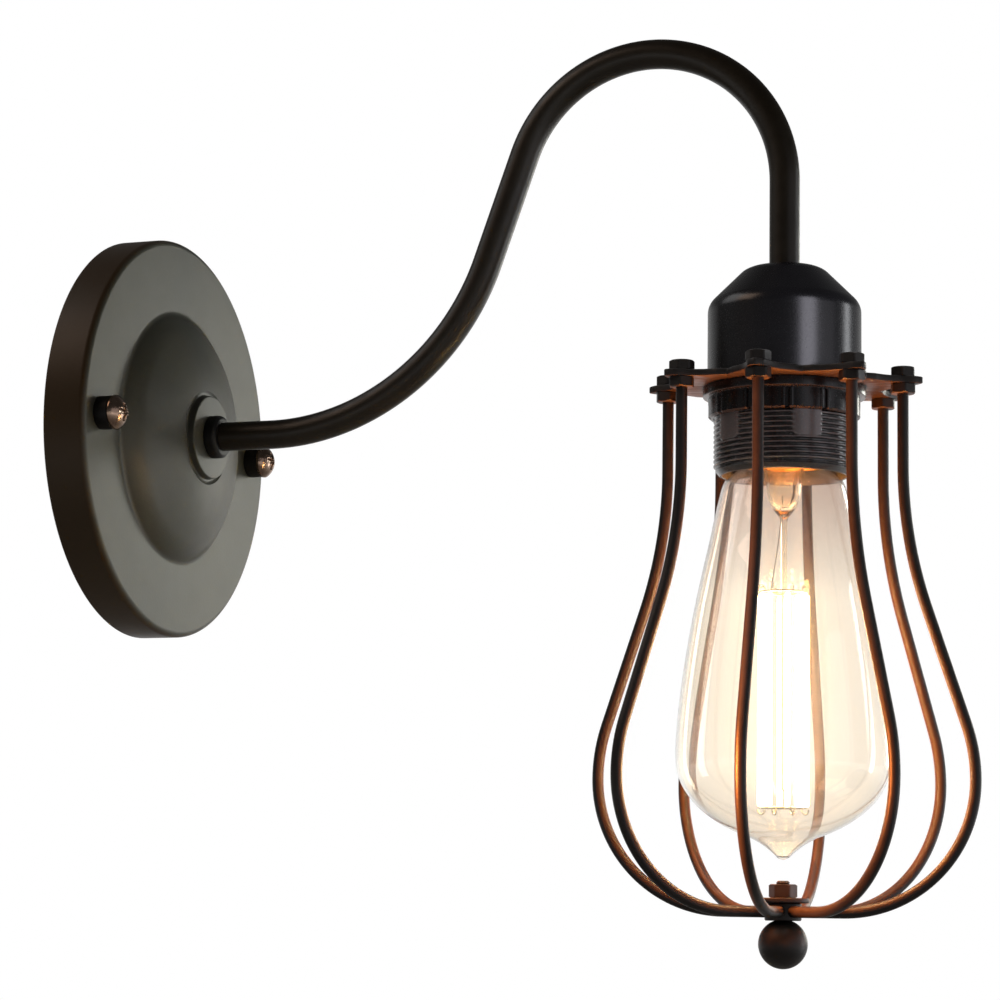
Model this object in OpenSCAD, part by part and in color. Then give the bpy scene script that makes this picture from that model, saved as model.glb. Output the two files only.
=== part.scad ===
// Cage wall light: a domed wall plate, a swan-neck arm, a screwed lampholder
// and eight bulged wires closed by a ball round a filament bulb.
// Millimetres. The wall is the plane y = 0. The light stands out along -Y and +Z is up.
// The origin is the centre of the bracket's back face, on the wall.

/* [Wall plate] */
// Diameter of the wall plate
plate_d = 129; // [127:1:138]
// Depth of the plate, from the wall to its flat face
plate_depth = 14; // [13.5:0.5:18]
// Height of the arm's seat above the flat face
dome_rise = 12; // [10:0.5:15]
// Diameter of the dome where it meets the flat face
dome_d = 80.8; // [76:0.4:86]
// Thickness of the plate's sheet
sheet = 1; // [0.8:0.1:1.3]
// Distance between the two plate screws
screw_span = 107; // [105:0.5:109]
// Thickness of the bracket's strip
strip = 1.5; // [1.2:0.1:2]

/* [Arm] */
// Outside diameter of the arm's tube
tube_d = 9.2; // [9:0.1:10]
// Thickness of the tube's wall
tube_wall = 1; // [0.8:0.1:1.2]
// Distance from the wall to the lamp's axis
reach = 217; // [206:1:235]
// Height of the arch's centreline above the plate's centre
arch_z = 114.5; // [106:0.5:124]
// Centreline radius of the lower sweep
sweep_r = 78; // [70:1:86]
// Centreline radius of the arch
arch_r = 43.5; // [39:0.5:45]
// Slope of the straight stretch between the two bends, in degrees
lean = 70.4; // [66:0.2:76]

/* [Lampholder] */
// Height of the cage flange's underside above the plate's centre
seat_z = 7; // [0:0.5:14]
// Diameter of the cup
cup_d = 46.3; // [45.6:0.1:48]
// Height of the cup
cup_h = 34.8; // [34:0.2:38]
// Crest diameter of the holder's outer thread
skirt_d = 42.4; // [42:0.1:43]
// Pitch of the holder's outer thread
skirt_pitch = 1.5; // [1.4:0.05:1.8]
// Diameter of the shade ring's rim
rim_d = 49; // [47.4:0.2:52]

/* [Cage] */
// Diameter of the cage's wires
wire_d = 3.4; // [2.8:0.1:3.5]
// Radius of the circle of wires at the flange
bolt_r = 36; // [34.5:0.5:37.5]
// Largest radius of the wires' centrelines
bulge_r = 57; // [53:0.5:61]
// Free height between the bulb's tip and the nut on the hub
tip_room = 7.1; // [5:0.1:12]
// Radius of the wires' bend under the widest level
belly_r = 39; // [36:0.5:41]
// Diameter of the ball
ball_d = 14.6; // [12:0.2:18]

/* [Bulb] */
// Largest diameter of the bulb's glass
bulb_d = 64; // [58:1:66]
// Length of the bulb, contact to tip
bulb_len = 142; // [138:0.5:144]
// Thickness of the bulb's glass
glass = 0.8; // [0.6:0.1:1]

/* [Hidden] */
$fn = 96;
slack = 0.05;
lap = 0.3;
hair = 0.02;
plate_r = plate_d / 2;
edge_r = 2;
dome_r = dome_d / 2;
seat_r = 13.4;
seat_h = plate_depth + dome_rise;
dome_top = seat_h - 1.5;
// The dome's flank is an arc through (dome_r, plate_depth), steep at its foot
flank_r = 18;
flank_slope = 50;
flank_x = dome_r - flank_r * sin(flank_slope);
flank_z = plate_depth - flank_r * cos(flank_slope);
// Its cap is a flatter arc round the axis through (seat_r, dome_top) that the flank runs into:
// the cap's centre height solves cap_2 h^2 + cap_1 h + cap_0 = 0
cap_a = seat_r * seat_r + dome_top * dome_top + flank_r * flank_r - flank_x * flank_x - flank_z * flank_z;
cap_b = 2 * (dome_top - flank_z);
cap_2 = 4 * flank_r * flank_r - cap_b * cap_b;
cap_1 = 2 * cap_a * cap_b - 8 * flank_r * flank_r * dome_top;
cap_0 = 4 * flank_r * flank_r * (seat_r * seat_r + dome_top * dome_top) - cap_a * cap_a;
dome_c = (-cap_1 + sqrt(cap_1 * cap_1 - 4 * cap_2 * cap_0)) / (2 * cap_2);
dome_s = norm([seat_r, dome_top - dome_c]);
join_tilt = atan2(flank_x, flank_z - dome_c);
foot_r = 2.5;
foot_x = flank_x + sqrt(pow(flank_r + foot_r, 2) - pow(plate_depth + foot_r - flank_z, 2));
collar_h = 4.5;
screw_x = screw_span / 2;
screw_r = 2;
head_r = 5.4;
head_h = 4.2;
head_dome = 6.3;
tab_h = plate_depth - sheet - 2.5;
tab_w = 18;
tab_end = screw_x + 6;
riser_x = 37;
strip_w = 22;
drop_tab = 33;
slot_x = 25;
slot_len = 14;
slot_r = 2.5;
earth_x = 12;
earth_r = 1.5;

tube_r = tube_d / 2;
bore_r = tube_r - tube_wall;
tube_y0 = 17;
bends = sweep_r + arch_r;
rise = (arch_z - bends * (1 - cos(lean))) / sin(lean);
bend_y = reach - arch_r - bends * sin(lean) - rise * cos(lean);
lead_r = 1.25;
lead_x = 1.5;
block_x = 4;
block_y = strip + 5.5;
block_z = -17;
block_w = 18;
block_l = 14;
block_h = 10;
clamp_r = 1.2;
clamp_gap = 3.5;
fix_r = 1.3;
fix_head_r = 2.4;
nut_af = 14;

cup_r = cup_d / 2;
cup_z = seat_z + 2;
cup_top = cup_z + cup_h;
skirt_r = skirt_d / 2;
root_r = skirt_r - 0.8;
neck_r = root_r - 0.1;
skirt_top = seat_z + 16;
skirt_low = seat_z - 26.9;
insert_top = skirt_top + 6;
ring_r = skirt_r + 0.07;
ring_h = 9.5;
rim_t = 3;
grip_r = skirt_r + 1.5;
tube_z1 = cup_top - 7.3;
fall = arch_z - arch_r - tube_z1;
ridge_z0 = skirt_low + 2.4;
ridge_w = 0.5;
ridges = floor((seat_z - ridge_z0 - ridge_w) / skirt_pitch);
pad_angle = 27;
pad_low = ridge_z0 + 4.4 * skirt_pitch;

flange_t = 2;
wire_r = wire_d / 2;
nut_r = wire_r + 2.25;
nut_h = 3;
cage_turn = 3.3;
flare = 18.5;
flare_r = 135;
swell_r = 50;
nut_room = 8.1;
tip_z = seat_z + 0.8 - bulb_len;
hub_z = tip_z - tip_room - nut_room;
bulge_drop = seat_z - hub_z - belly_r;
slope = (bulge_r - bolt_r - (flare_r + swell_r) * (1 - cos(flare))) / sin(flare);
flare_z = seat_z - bulge_drop + (flare_r + swell_r) * sin(flare) + slope * cos(flare);
hub_r = 3.9 + wire_r * 0.9;
wire_end = wire_r / sin(22.5) + 0.25;
stud_r = 2;
ball_r = ball_d / 2;
ball_flat = 2.6;
ball_z = hub_z - 2.6 - sqrt(ball_r * ball_r - ball_flat * ball_flat);

cap_low = seat_z - 22.9;
cap_grip = 3;
glass_k = (cap_low + cap_grip - tip_z) / 121.3;
shell_in = 13.3;
cap_r = shell_in - 0.1;
cap_h = 18.3;
plug_r = 9.2;
end_r = 10.8;
e27_pitch = 3.629;

// Outline of the bulb's glass: radius and height above the tip for a 64 mm bulb
outline = [[0, 0], [1.3, 0.4], [3, 1.9], [5.6, 4], [9.2, 6.1], [14.2, 8.1], [19.4, 10.8],
  [23.9, 14.1], [27.6, 17.9], [30.2, 22], [31.6, 26.2], [32, 30.5], [31.8, 36.5], [31.1, 45],
  [30, 54], [28.6, 63.2], [26.5, 75], [24.3, 85.5], [22.3, 94.3], [20.9, 101], [19.6, 106.8],
  [17.9, 112.4], [15.8, 115.4], [13.6, 117.2], [12.5, 118.1], [12.5, 121.3]];
// The belly takes the bulb's width and the neck keeps the cap's
pts = [for (p = outline)
  [p[0] * (1 + (bulb_d / 64 - 1) * min(1, max(0, (118 - p[1]) / 20))), p[1] * glass_k]];
last = len(pts) - 1;
function knot(i) = pts[max(0, min(last, i))];
function mid(i) = (-knot(i - 1) + 9 * knot(i) + 9 * knot(i + 1) - knot(i + 2)) / 16;
fine = [for (i = [0:last]) each i < last ? [knot(i), i == 0 ? (knot(0) + knot(1)) / 2 : mid(i)] : [knot(i)]];
end = len(fine) - 1;
function along(i) = fine[min(end, i + 1)] - fine[max(0, i - 1)];
function inward(i) = fine[i] - glass * [along(i)[1], -along(i)[0]] / norm(along(i));
open_z = fine[end][1] + 1;
inner = [for (i = [2:end]) if (inward(i)[0] > 0.4) inward(i)];

// Stands a shape's +Z along -Y, out of the wall
module out_of_wall() {
  rotate([90, 0, 0]) children();
}

module at_lamp(z = 0) {
  translate([0, -reach, z]) children();
}

module hexagon(af, h) {
  intersection() {
    cylinder(r = af / sqrt(3), h = h, $fn = 6);
    cylinder(r1 = af / sqrt(3) - 0.35, r2 = af / sqrt(3) + h, h = h);
    translate([0, 0, h]) mirror([0, 0, 1]) cylinder(r1 = af / sqrt(3) - 0.35, r2 = af / sqrt(3) + h, h = h);
  }
}

// Walks a round rod along +Z: each step is [roll, straight, bend radius, bend angle].
// A bend is a hair thinner than a straight and runs lap into what it meets, so that they join cleanly.
module walk(steps, r, i = 0) {
  if (i < len(steps)) {
    bend = steps[i][2];
    angle = steps[i][3];
    extra = bend > 0 ? lap / bend * 180 / PI : 0;
    rotate([0, 0, steps[i][0]]) {
      if (steps[i][1] > 0) cylinder(r = r, h = steps[i][1]);
      translate([0, 0, steps[i][1]]) {
        if (angle > 0)
          translate([bend, 0, 0])
            rotate([90, extra, 180])
              rotate_extrude(angle = angle + 2 * extra)
                translate([bend, 0])
                  circle(r = r - hair * (1 + i % 2));
        translate([bend * (1 - cos(angle)), 0, bend * sin(angle)])
          rotate([0, angle, 0])
            walk(steps, r, i + 1);
      }
    }
  }
}

// Section of the plate's skin, w inside its outer face
module plate_section(w) {
  square([plate_r - w, plate_depth - edge_r]);
  square([plate_r - edge_r, plate_depth - w]);
  translate([plate_r - edge_r, plate_depth - edge_r]) circle(r = edge_r - w);
  difference() {
    intersection() {
      translate([0, dome_c]) circle(r = dome_s - w);
      translate([0, plate_depth - edge_r]) square([flank_x + (flank_r - w) * sin(join_tilt), seat_h]);
    }
    translate([-1, dome_top - w]) square([seat_r + 1, seat_h]);
  }
  intersection() {
    translate([flank_x, flank_z]) circle(r = flank_r - w);
    translate([flank_x, plate_depth - edge_r]) square([2 * flank_r, seat_h]);
  }
  square([seat_r - w, seat_h - w]);
  // Concave foot where the dome leaves the flat face
  difference() {
    translate([dome_r - 4, plate_depth - w - 0.5]) square([foot_x - dome_r + 4, 1.6]);
    translate([foot_x, plate_depth + foot_r]) circle(r = foot_r + w);
    difference() {
      translate([flank_x, 0]) square([2 * plate_r, 3 * plate_r]);
      translate([flank_x, flank_z]) circle(r = flank_r + 0.8);
    }
  }
}

module wall_plate() {
  color([0.30, 0.30, 0.26])
    out_of_wall()
      difference() {
        rotate_extrude() difference() {
          intersection() {
            plate_section(0);
            square([plate_r, seat_h]);
          }
          translate([0, -1]) square([plate_r - sheet, plate_depth - edge_r + 1]);
          intersection() {
            plate_section(sheet);
            square([plate_r, seat_h]);
          }
          // Groove round the seat
          translate([seat_r + 0.35, dome_top + 0.55]) circle(r = 0.75);
        }
        translate([0, 0, plate_depth]) cylinder(r = tube_r + slack, h = dome_rise + 1);
        for (s = [-1, 1])
          translate([s * screw_x, 0, plate_depth - 4]) cylinder(r = screw_r + 0.3, h = 8);
      }
}

module wall_bracket() {
  color([0.70, 0.71, 0.72])
    out_of_wall()
      difference() {
        union() {
          translate([-riser_x, -strip_w / 2, 0]) cube([2 * riser_x, strip_w, strip]);
          translate([-tab_w / 2, -drop_tab, 0]) cube([tab_w, drop_tab - strip_w / 2 + 1, strip]);
          for (s = [0, 1]) mirror([s, 0, 0]) {
            translate([riser_x - strip, -tab_w / 2, 0]) cube([strip, tab_w, tab_h + strip]);
            translate([riser_x - strip, -tab_w / 2, tab_h])
              cube([tab_end - riser_x + strip, tab_w, strip]);
          }
        }
        for (s = [-1, 1]) {
          for (e = [-1, 1])
            translate([s * slot_x + e * (slot_len / 2 - slot_r), 0, -1]) cylinder(r = slot_r, h = strip + 2);
          translate([s * slot_x - slot_len / 2 + slot_r, -slot_r, -1])
            cube([slot_len - 2 * slot_r, 2 * slot_r, strip + 2]);
          translate([s * screw_x, 0, tab_h - 1]) cylinder(r = screw_r + slack, h = strip + 2);
        }
        translate([earth_x, 0, -1]) cylinder(r = earth_r + slack, h = strip + 2);
      }
}

// Cross recess, cut down from the top of a head at height h
module cross(h, size, depth) {
  translate([-size / 2, -size * 0.12, h - depth]) cube([size, size * 0.24, depth + 3]);
  translate([-size * 0.12, -size / 2, h - depth]) cube([size * 0.24, size, depth + 3]);
}

module plate_screws() {
  color([0.62, 0.55, 0.48])
    out_of_wall()
      for (s = [-1, 1])
        translate([s * screw_x, 0, plate_depth + collar_h]) {
          difference() {
            intersection() {
              cylinder(r = head_r, h = head_h);
              translate([0, 0, head_h - head_dome]) sphere(r = head_dome);
            }
            cross(head_h, head_r, 1.7);
          }
          translate([0, 0, tab_h - 2 - plate_depth - collar_h])
            cylinder(r = screw_r, h = plate_depth + collar_h + 2 - tab_h + 0.5);
        }
}

module screw_collars() {
  color([0.06, 0.06, 0.06])
    out_of_wall()
      for (s = [-1, 1])
        translate([s * screw_x, 0, plate_depth])
          difference() {
            cylinder(r = 5.2, h = collar_h);
            translate([0, 0, -1]) cylinder(r = screw_r + 0.15, h = collar_h + 2);
          }
}

module earth_screw() {
  color([0.75, 0.62, 0.30])
    out_of_wall()
      translate([earth_x, 0, strip]) {
        cylinder(r = 4, h = 0.8);
        translate([0, 0, 0.8])
          difference() {
            intersection() {
              cylinder(r = 3.2, h = 2.2);
              translate([0, 0, 2.2 - 4.4]) sphere(r = 4.4);
            }
            cross(2.2, 3.6, 1.1);
          }
        translate([0, 0, -strip]) cylinder(r = earth_r, h = strip + 0.5);
      }
}

module terminal_block() {
  color([0.88, 0.87, 0.82])
    difference() {
      union() {
        translate([-block_w / 2, -strip - block_h, block_z - block_l]) cube([block_w, block_h, block_l]);
        for (s = [-1, 1])
          translate([s * block_x, -strip - block_h + 0.5, block_z - block_l / 2])
            rotate([90, 0, 0]) cylinder(r = 3.2, h = 3);
      }
      for (s = [-1, 1]) {
        translate([s * block_x, -block_y, block_z - block_l - 1]) cylinder(r = lead_r + slack, h = block_l + 2);
        for (d = [-clamp_gap, clamp_gap])
          translate([s * block_x, -strip - 4, block_z - block_l / 2 + d])
            rotate([90, 0, 0]) cylinder(r = clamp_r + slack, h = block_h + 2);
      }
      translate([0, 1, block_z - block_l / 2])
        rotate([90, 0, 0]) cylinder(r = fix_r + slack, h = 2 * block_h);
      translate([0, -strip - block_h, block_z - block_l / 2])
        rotate([90, 0, 0]) cylinder(r = fix_head_r + slack, h = 6);
    }
}

module terminal_screws() {
  color([0.72, 0.72, 0.74])
    for (s = [-1, 1], d = [-clamp_gap, clamp_gap])
      translate([s * block_x, -block_y - lead_r - slack, block_z - block_l / 2 + d])
        rotate([90, 0, 0])
          difference() {
            cylinder(r = clamp_r, h = strip + 11.2 - block_y - lead_r);
            translate([-2, -0.25, strip + 10.6 - block_y - lead_r]) cube([4, 0.5, 2]);
          }
  color([0.72, 0.72, 0.74])
    translate([0, -strip, block_z - block_l / 2])
      rotate([90, 0, 0])
        difference() {
          union() {
            cylinder(r = fix_r, h = block_h + 0.5);
            translate([0, 0, block_h]) cylinder(r = fix_head_r, h = 1.4);
          }
          translate([-3, -0.3, block_h + 0.8]) cube([6, 0.6, 2]);
        }
}

// The arm's path, from over before its wall end to over past its lamp end
function arm_steps(over) = [[0, bend_y - tube_y0 + over, sweep_r, lean],
  [180, rise, arch_r, lean + 90], [0, fall + over, 0, 0]];

module arm_tube() {
  color([0.17, 0.14, 0.12])
    translate([0, -tube_y0, 0])
      rotate([90, 0, 0])
        rotate([0, 0, 90])
          difference() {
            walk(arm_steps(0), tube_r);
            translate([0, 0, -1]) walk(arm_steps(1), bore_r);
            for (k = [0:3])
              translate([0, 0, 0.8 + k])
                rotate_extrude() polygon([[tube_r - 0.35, 0.35], [tube_r + 1, -0.4], [tube_r + 1, 1.1]]);
          }
}

module arm_collar() {
  color([0.05, 0.05, 0.05])
    out_of_wall()
      translate([0, 0, seat_h])
        difference() {
          union() {
            cylinder(r = tube_r + 2.3, h = 3.2);
            translate([0, 0, 3.2]) cylinder(r1 = tube_r + 2.3, r2 = tube_r + 1.4, h = 0.9);
          }
          translate([0, 0, -1]) cylinder(r = tube_r + slack, h = 7);
        }
}

module tooth_washer() {
  color([0.68, 0.68, 0.70])
    out_of_wall()
      translate([0, 0, seat_h - sheet - 0.8])
        difference() {
          cylinder(r = 8.4, h = 0.8);
          translate([0, 0, -1]) cylinder(r = tube_r + slack, h = 3);
          for (k = [0:11])
            rotate([0, 0, 30 * k]) translate([7.2, -0.6, -1]) cube([3, 1.2, 3]);
        }
}

module arm_lock_nut() {
  color([0.74, 0.70, 0.58])
    out_of_wall()
      translate([0, 0, seat_h - sheet - 3.8])
        difference() {
          hexagon(nut_af, 3);
          translate([0, 0, -1]) cylinder(r = tube_r + slack, h = 5);
        }
}

block_out = block_x - lead_x;
kink = (block_out - 8 * (1 - cos(30))) / sin(30);
kink_z = 0.5 + 4 + kink * cos(30);
dip = tube_y0 - 1 - block_y;
lead_steps = [[0, 3.5, 4, 30], [180, kink, 4, 30],
  [-90, -block_z - kink_z - dip, dip, 90],
  [180, bend_y - tube_y0 + 1, sweep_r, lean],
  [180, rise, arch_r, lean + 90], [90, fall + 1, 3, 90], [0, 4.5, 0, 0]];

module lead() {
  translate([block_x, -block_y, block_z - 3])
    rotate([0, 0, 180])
      walk(lead_steps, lead_r);
}

module live_lead() {
  color([0.30, 0.14, 0.06]) lead();
}

module neutral_lead() {
  color([0.10, 0.25, 0.60]) mirror([1, 0, 0]) lead();
}

module holder_cup() {
  color([0.06, 0.06, 0.065])
    at_lamp()
      difference() {
        rotate_extrude()
          polygon([[neck_r + 0.1, cup_z], [cup_r, cup_z], [cup_r, cup_top - 13.2],
            [cup_r - 0.25, cup_top - 12.1], [cup_r - 0.95, cup_top - 11],
            [cup_r - 10.3, cup_top - 1.4], [cup_r - 11, cup_top - 0.75], [cup_r - 11.9, cup_top - 0.2],
            [cup_r - 12.9, cup_top], [0, cup_top], [0, cup_top - 3], [cup_r - 12.6, cup_top - 3],
            [neck_r - 1.5, cup_top - 12.5], [neck_r - 1.5, insert_top], [neck_r + 0.1, insert_top]]);
        translate([0, 0, cup_top - 5]) cylinder(r = tube_r + slack, h = 7);
      }
}

module holder_nut() {
  color([0.74, 0.70, 0.58])
    at_lamp(cup_top - 6)
      difference() {
        hexagon(nut_af, 3);
        translate([0, 0, -1]) cylinder(r = tube_r + slack, h = 5);
      }
}

// Outline of the skirt's outside with its ridges, from the top down
skirt_outline = concat([[0, skirt_top], [neck_r, skirt_top], [neck_r, cup_z], [root_r, cup_z]],
  [for (k = [ridges - 1:-1:0], p = [[0, ridge_w], [0.8, 0.14], [0.8, -0.14], [0, -ridge_w]])
    [root_r + p[0], ridge_z0 + k * skirt_pitch + p[1]]],
  [[skirt_r - 1.9, skirt_low], [0, skirt_low]]);

module holder_skirt() {
  color([0.055, 0.055, 0.06])
    at_lamp()
      difference() {
        union() {
          rotate([0, 0, 35]) rotate_extrude() polygon(skirt_outline);
          // Smooth pads that break the thread
          for (k = [0:4])
            rotate([0, 0, -145.3 - pad_angle / 2 + 72 * k])
              rotate_extrude(angle = pad_angle)
                polygon([[root_r - 1, pad_low], [root_r, pad_low], [skirt_r + 0.02, pad_low + 0.9],
                  [skirt_r + 0.02, seat_z - 0.2], [root_r - 1, seat_z - 0.2]]);
        }
        translate([0, 0, skirt_low - 1]) cylinder(r = skirt_r - 2.6, h = 10.4);
        translate([0, 0, skirt_low + 8]) cylinder(r = shell_in + 2.3, h = skirt_top - skirt_low);
      }
}

pin_x = 9;
pin_r = 1.2;
clamp_h = cup_top - insert_top - 7.1;

module holder_insert() {
  color([0.86, 0.85, 0.80])
    at_lamp()
      difference() {
        union() {
          translate([0, 0, seat_z + 4]) cylinder(r = shell_in + 2.1, h = skirt_top - seat_z - 4);
          translate([0, 0, skirt_top]) cylinder(r = neck_r - 0.6, h = insert_top - skirt_top);
        }
        for (s = [-1, 1])
          translate([s * pin_x, 0, seat_z]) cylinder(r = pin_r + slack, h = insert_top - seat_z + 2);
        for (s = [-1, 1])
          translate([0, s * 8, insert_top - 2]) cylinder(r = 2, h = 4);
      }
}

module holder_terminals() {
  color([0.78, 0.60, 0.26])
    at_lamp(insert_top)
      for (s = [0, 1])
        mirror([s, 0, 0]) {
          difference() {
            translate([pin_x - 3, -3.2, 0]) cube([6, 6.4, clamp_h]);
            translate([pin_x - 4, 0, tube_z1 - 4 - insert_top])
              rotate([0, 90, 0]) cylinder(r = lead_r + slack, h = 5.2);
          }
          translate([pin_x, 0, clamp_h]) cylinder(r = 1.9, h = 0.9);
          translate([pin_x, 0, seat_z + 4 - insert_top])
            cylinder(r = pin_r, h = insert_top - seat_z - 3.5);
        }
}

module screw_shell() {
  color([0.80, 0.64, 0.32])
    at_lamp(seat_z)
      difference() {
        union() {
          translate([0, 0, -17]) cylinder(r = shell_in + 0.5, h = 21);
          for (k = [0:4])
            translate([0, 0, -15.2 + e27_pitch * k])
              rotate_extrude()
                polygon([[shell_in, -1.2], [shell_in + 0.5, -1.1], [shell_in + 1, -0.4],
                  [shell_in + 1, 0.4], [shell_in + 0.5, 1.1], [shell_in, 1.2]]);
        }
        translate([0, 0, -18]) cylinder(r = shell_in, h = 21.4);
        translate([0, 0, 3]) cylinder(r = 7.4, h = 3);
        translate([-20, -3.4, 3.4]) cube([20, 6.8, 3]);
      }
}

module centre_contact() {
  color([0.82, 0.68, 0.36])
    at_lamp(seat_z) {
      translate([-10.6, -2, 3.4]) cube([12.6, 4, 0.6]);
      difference() {
        translate([0, 0, 0.85]) cylinder(r1 = 2.2, r2 = 3, h = 2.6);
        translate([0, 0, 1.4]) cylinder(r1 = 1.7, r2 = 2.4, h = 1.8);
      }
    }
}

module shade_ring() {
  color([0.055, 0.055, 0.06])
    at_lamp(seat_z)
      difference() {
        rotate([0, 0, 5]) rotate_extrude()
          polygon([[ring_r, 0], [rim_d / 2 - 0.3, 0], [rim_d / 2, -0.3], [rim_d / 2, -rim_t + 0.3],
            [rim_d / 2 - 0.3, -rim_t], [grip_r, -rim_t], [grip_r, 0.6 - ring_h],
            [grip_r - 0.6, -ring_h], [ring_r, -ring_h]]);
        // Slots between the grip's panels
        for (k = [0:11])
          rotate([0, 0, -162.3 + 30 * k])
            translate([grip_r - 0.75, -0.5, -ring_h - 1]) cube([3, 1, ring_h - rim_t + 0.4]);
      }
}

module cage_places() {
  for (k = [0:7])
    at_lamp() rotate([0, 0, cage_turn - 90 + 45 * k]) children();
}

module cage_flange() {
  color([0.05, 0.05, 0.05])
    at_lamp(seat_z)
      linear_extrude(flange_t)
        difference() {
          union() {
            circle(r = bolt_r - 4);
            for (k = [0:7])
              rotate([0, 0, cage_turn - 90 + 45 * k])
                polygon([[20, -8], [bolt_r - 4, -8], [bolt_r + 2.4, -4], [bolt_r + 6.4, 0],
                  [bolt_r + 2.4, 4], [bolt_r - 4, 8], [20, 8]]);
          }
          circle(r = skirt_r + 0.3);
          for (k = [0:7])
            rotate([0, 0, cage_turn - 90 + 45 * k]) {
              translate([bolt_r, 0]) circle(r = wire_r + slack);
              rotate([0, 0, 22.5]) translate([bolt_r + 10, 0]) circle(r = 15.2);
            }
        }
}

module cage_nut() {
  difference() {
    hexagon(nut_r * sqrt(3), nut_h);
    translate([0, 0, -1]) cylinder(r = wire_r + slack, h = nut_h + 2);
  }
}

module cage_upper_nuts() {
  color([0.04, 0.04, 0.04])
    cage_places() translate([bolt_r, 0, seat_z + flange_t]) rotate([0, 0, 8]) cage_nut();
}

module cage_lower_nuts() {
  color([0.04, 0.04, 0.04])
    cage_places() translate([bolt_r, 0, seat_z - nut_h]) rotate([0, 0, 21]) cage_nut();
}

wire_top = seat_z + flange_t + nut_h + 0.3;
wire_steps = [[0, wire_top - flare_z, flare_r, flare], [0, slope, 0, 0], [180, 0, swell_r, flare],
  [0, 0, belly_r, 90], [0, bulge_r - belly_r - wire_end, 0, 0]];

module cage_wire(k) {
  color([0.05, 0.045, 0.04])
    at_lamp(wire_top)
      rotate([0, 0, cage_turn - 90 + 45 * (k - 1)])
        translate([bolt_r, 0, 0])
          mirror([0, 0, 1])
            walk(wire_steps, wire_r);
}

module cage_wire_1() {
  cage_wire(1);
}

module cage_wire_2() {
  cage_wire(2);
}

module cage_wire_3() {
  cage_wire(3);
}

module cage_wire_4() {
  cage_wire(4);
}

module cage_wire_5() {
  cage_wire(5);
}

module cage_wire_6() {
  cage_wire(6);
}

module cage_wire_7() {
  cage_wire(7);
}

module cage_wire_8() {
  cage_wire(8);
}

module hub_collar() {
  color([0.045, 0.045, 0.045])
    at_lamp(hub_z)
      difference() {
        translate([0, 0, -2.6]) cylinder(r = hub_r, h = 5.2);
        translate([0, 0, -4]) cylinder(r = stud_r + 0.06, h = 8);
        for (k = [0:7])
          rotate([0, 0, cage_turn - 90 + 45 * k])
            translate([wire_end, 0, 0]) rotate([0, 90, 0]) cylinder(r = wire_r, h = 10);
      }
}

module hub_disc() {
  color([0.045, 0.045, 0.045])
    at_lamp(hub_z + 2.6)
      difference() {
        union() {
          cylinder(r = 7.75, h = 1.1);
          translate([0, 0, 1.1]) cylinder(r1 = 7.75, r2 = 7.3, h = 0.4);
        }
        translate([0, 0, -1]) cylinder(r = stud_r + 0.06, h = 4);
      }
}

module hub_nut() {
  color([0.10, 0.10, 0.10])
    at_lamp(hub_z + 4.1)
      rotate([0, 0, 12])
        difference() {
          hexagon(7.5, 4);
          translate([0, 0, -1]) cylinder(r = stud_r + 0.06, h = 6);
        }
}

module finial_ball() {
  color([0.045, 0.045, 0.045])
    at_lamp() {
      difference() {
        translate([0, 0, ball_z]) sphere(r = ball_r);
        translate([-10, -10, hub_z - 2.6]) cube([20, 20, 20]);
      }
      translate([0, 0, ball_z]) cylinder(r = stud_r, h = hub_z + 8.6 - ball_z);
      translate([0, 0, hub_z + 8.6]) cylinder(r1 = stud_r, r2 = stud_r - 0.5, h = 0.5);
    }
}

module bulb_glass() {
  color([0.95, 0.80, 0.55, 0.4])
    at_lamp(tip_z)
      rotate_extrude()
        difference() {
          polygon(concat(fine, [[0, fine[end][1]]]));
          polygon(concat([[0, inner[0][1]]], inner, [[inner[len(inner) - 1][0], open_z], [0, open_z]]));
        }
}

module bulb_cap() {
  color([0.83, 0.68, 0.40])
    at_lamp()
      difference() {
        union() {
          translate([0, 0, cap_low]) cylinder(r = cap_r, h = 1.6);
          translate([0, 0, cap_low]) cylinder(r = cap_r - 0.6, h = cap_h);
          for (k = [0:3])
            translate([0, 0, cap_low + 4 + e27_pitch * k])
              rotate_extrude()
                polygon([[cap_r - 1, -1.4], [cap_r - 0.6, -1.3], [cap_r, -0.4], [cap_r, 0.4],
                  [cap_r - 0.6, 1.3], [cap_r - 1, 1.4]]);
          translate([0, 0, cap_low + cap_h]) cylinder(r1 = cap_r - 0.6, r2 = cap_r - 2, h = 0.6);
        }
        translate([0, 0, cap_low - 1]) cylinder(r = 12.5 + slack, h = 4.05);
        translate([0, 0, cap_low + 2]) cylinder(r = cap_r - 1, h = cap_h - 2.4);
        translate([0, 0, cap_low + 10]) cylinder(r = plug_r, h = cap_h);
      }
}

module bulb_insulator() {
  color([0.06, 0.06, 0.07])
    at_lamp(cap_low + cap_h - 0.4)
      difference() {
        union() {
          translate([0, 0, -1]) cylinder(r = plug_r, h = 2);
          translate([0, 0, 1]) cylinder(r = end_r, h = 0.4);
          translate([0, 0, 1.4]) cylinder(r1 = end_r, r2 = end_r - 5.2, h = 3.4);
        }
        translate([0, 0, -2]) cylinder(r = 1, h = 5.6);
      }
}

module bulb_contact() {
  color([0.72, 0.72, 0.70])
    at_lamp(cap_low + cap_h + 4.4) {
      cylinder(r = 4.6, h = 0.5);
      translate([0, 0, 0.5]) cylinder(r1 = 4.6, r2 = 3.4, h = 0.5);
    }
}

stem_z = cap_low + 2.9;
ring_hi = tip_z + 79 * glass_k;
ring_lo = tip_z + 15 * glass_k;
stick_r = 0.8;
stick_ring = 7;
spoke_r0 = 1.15;

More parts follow.
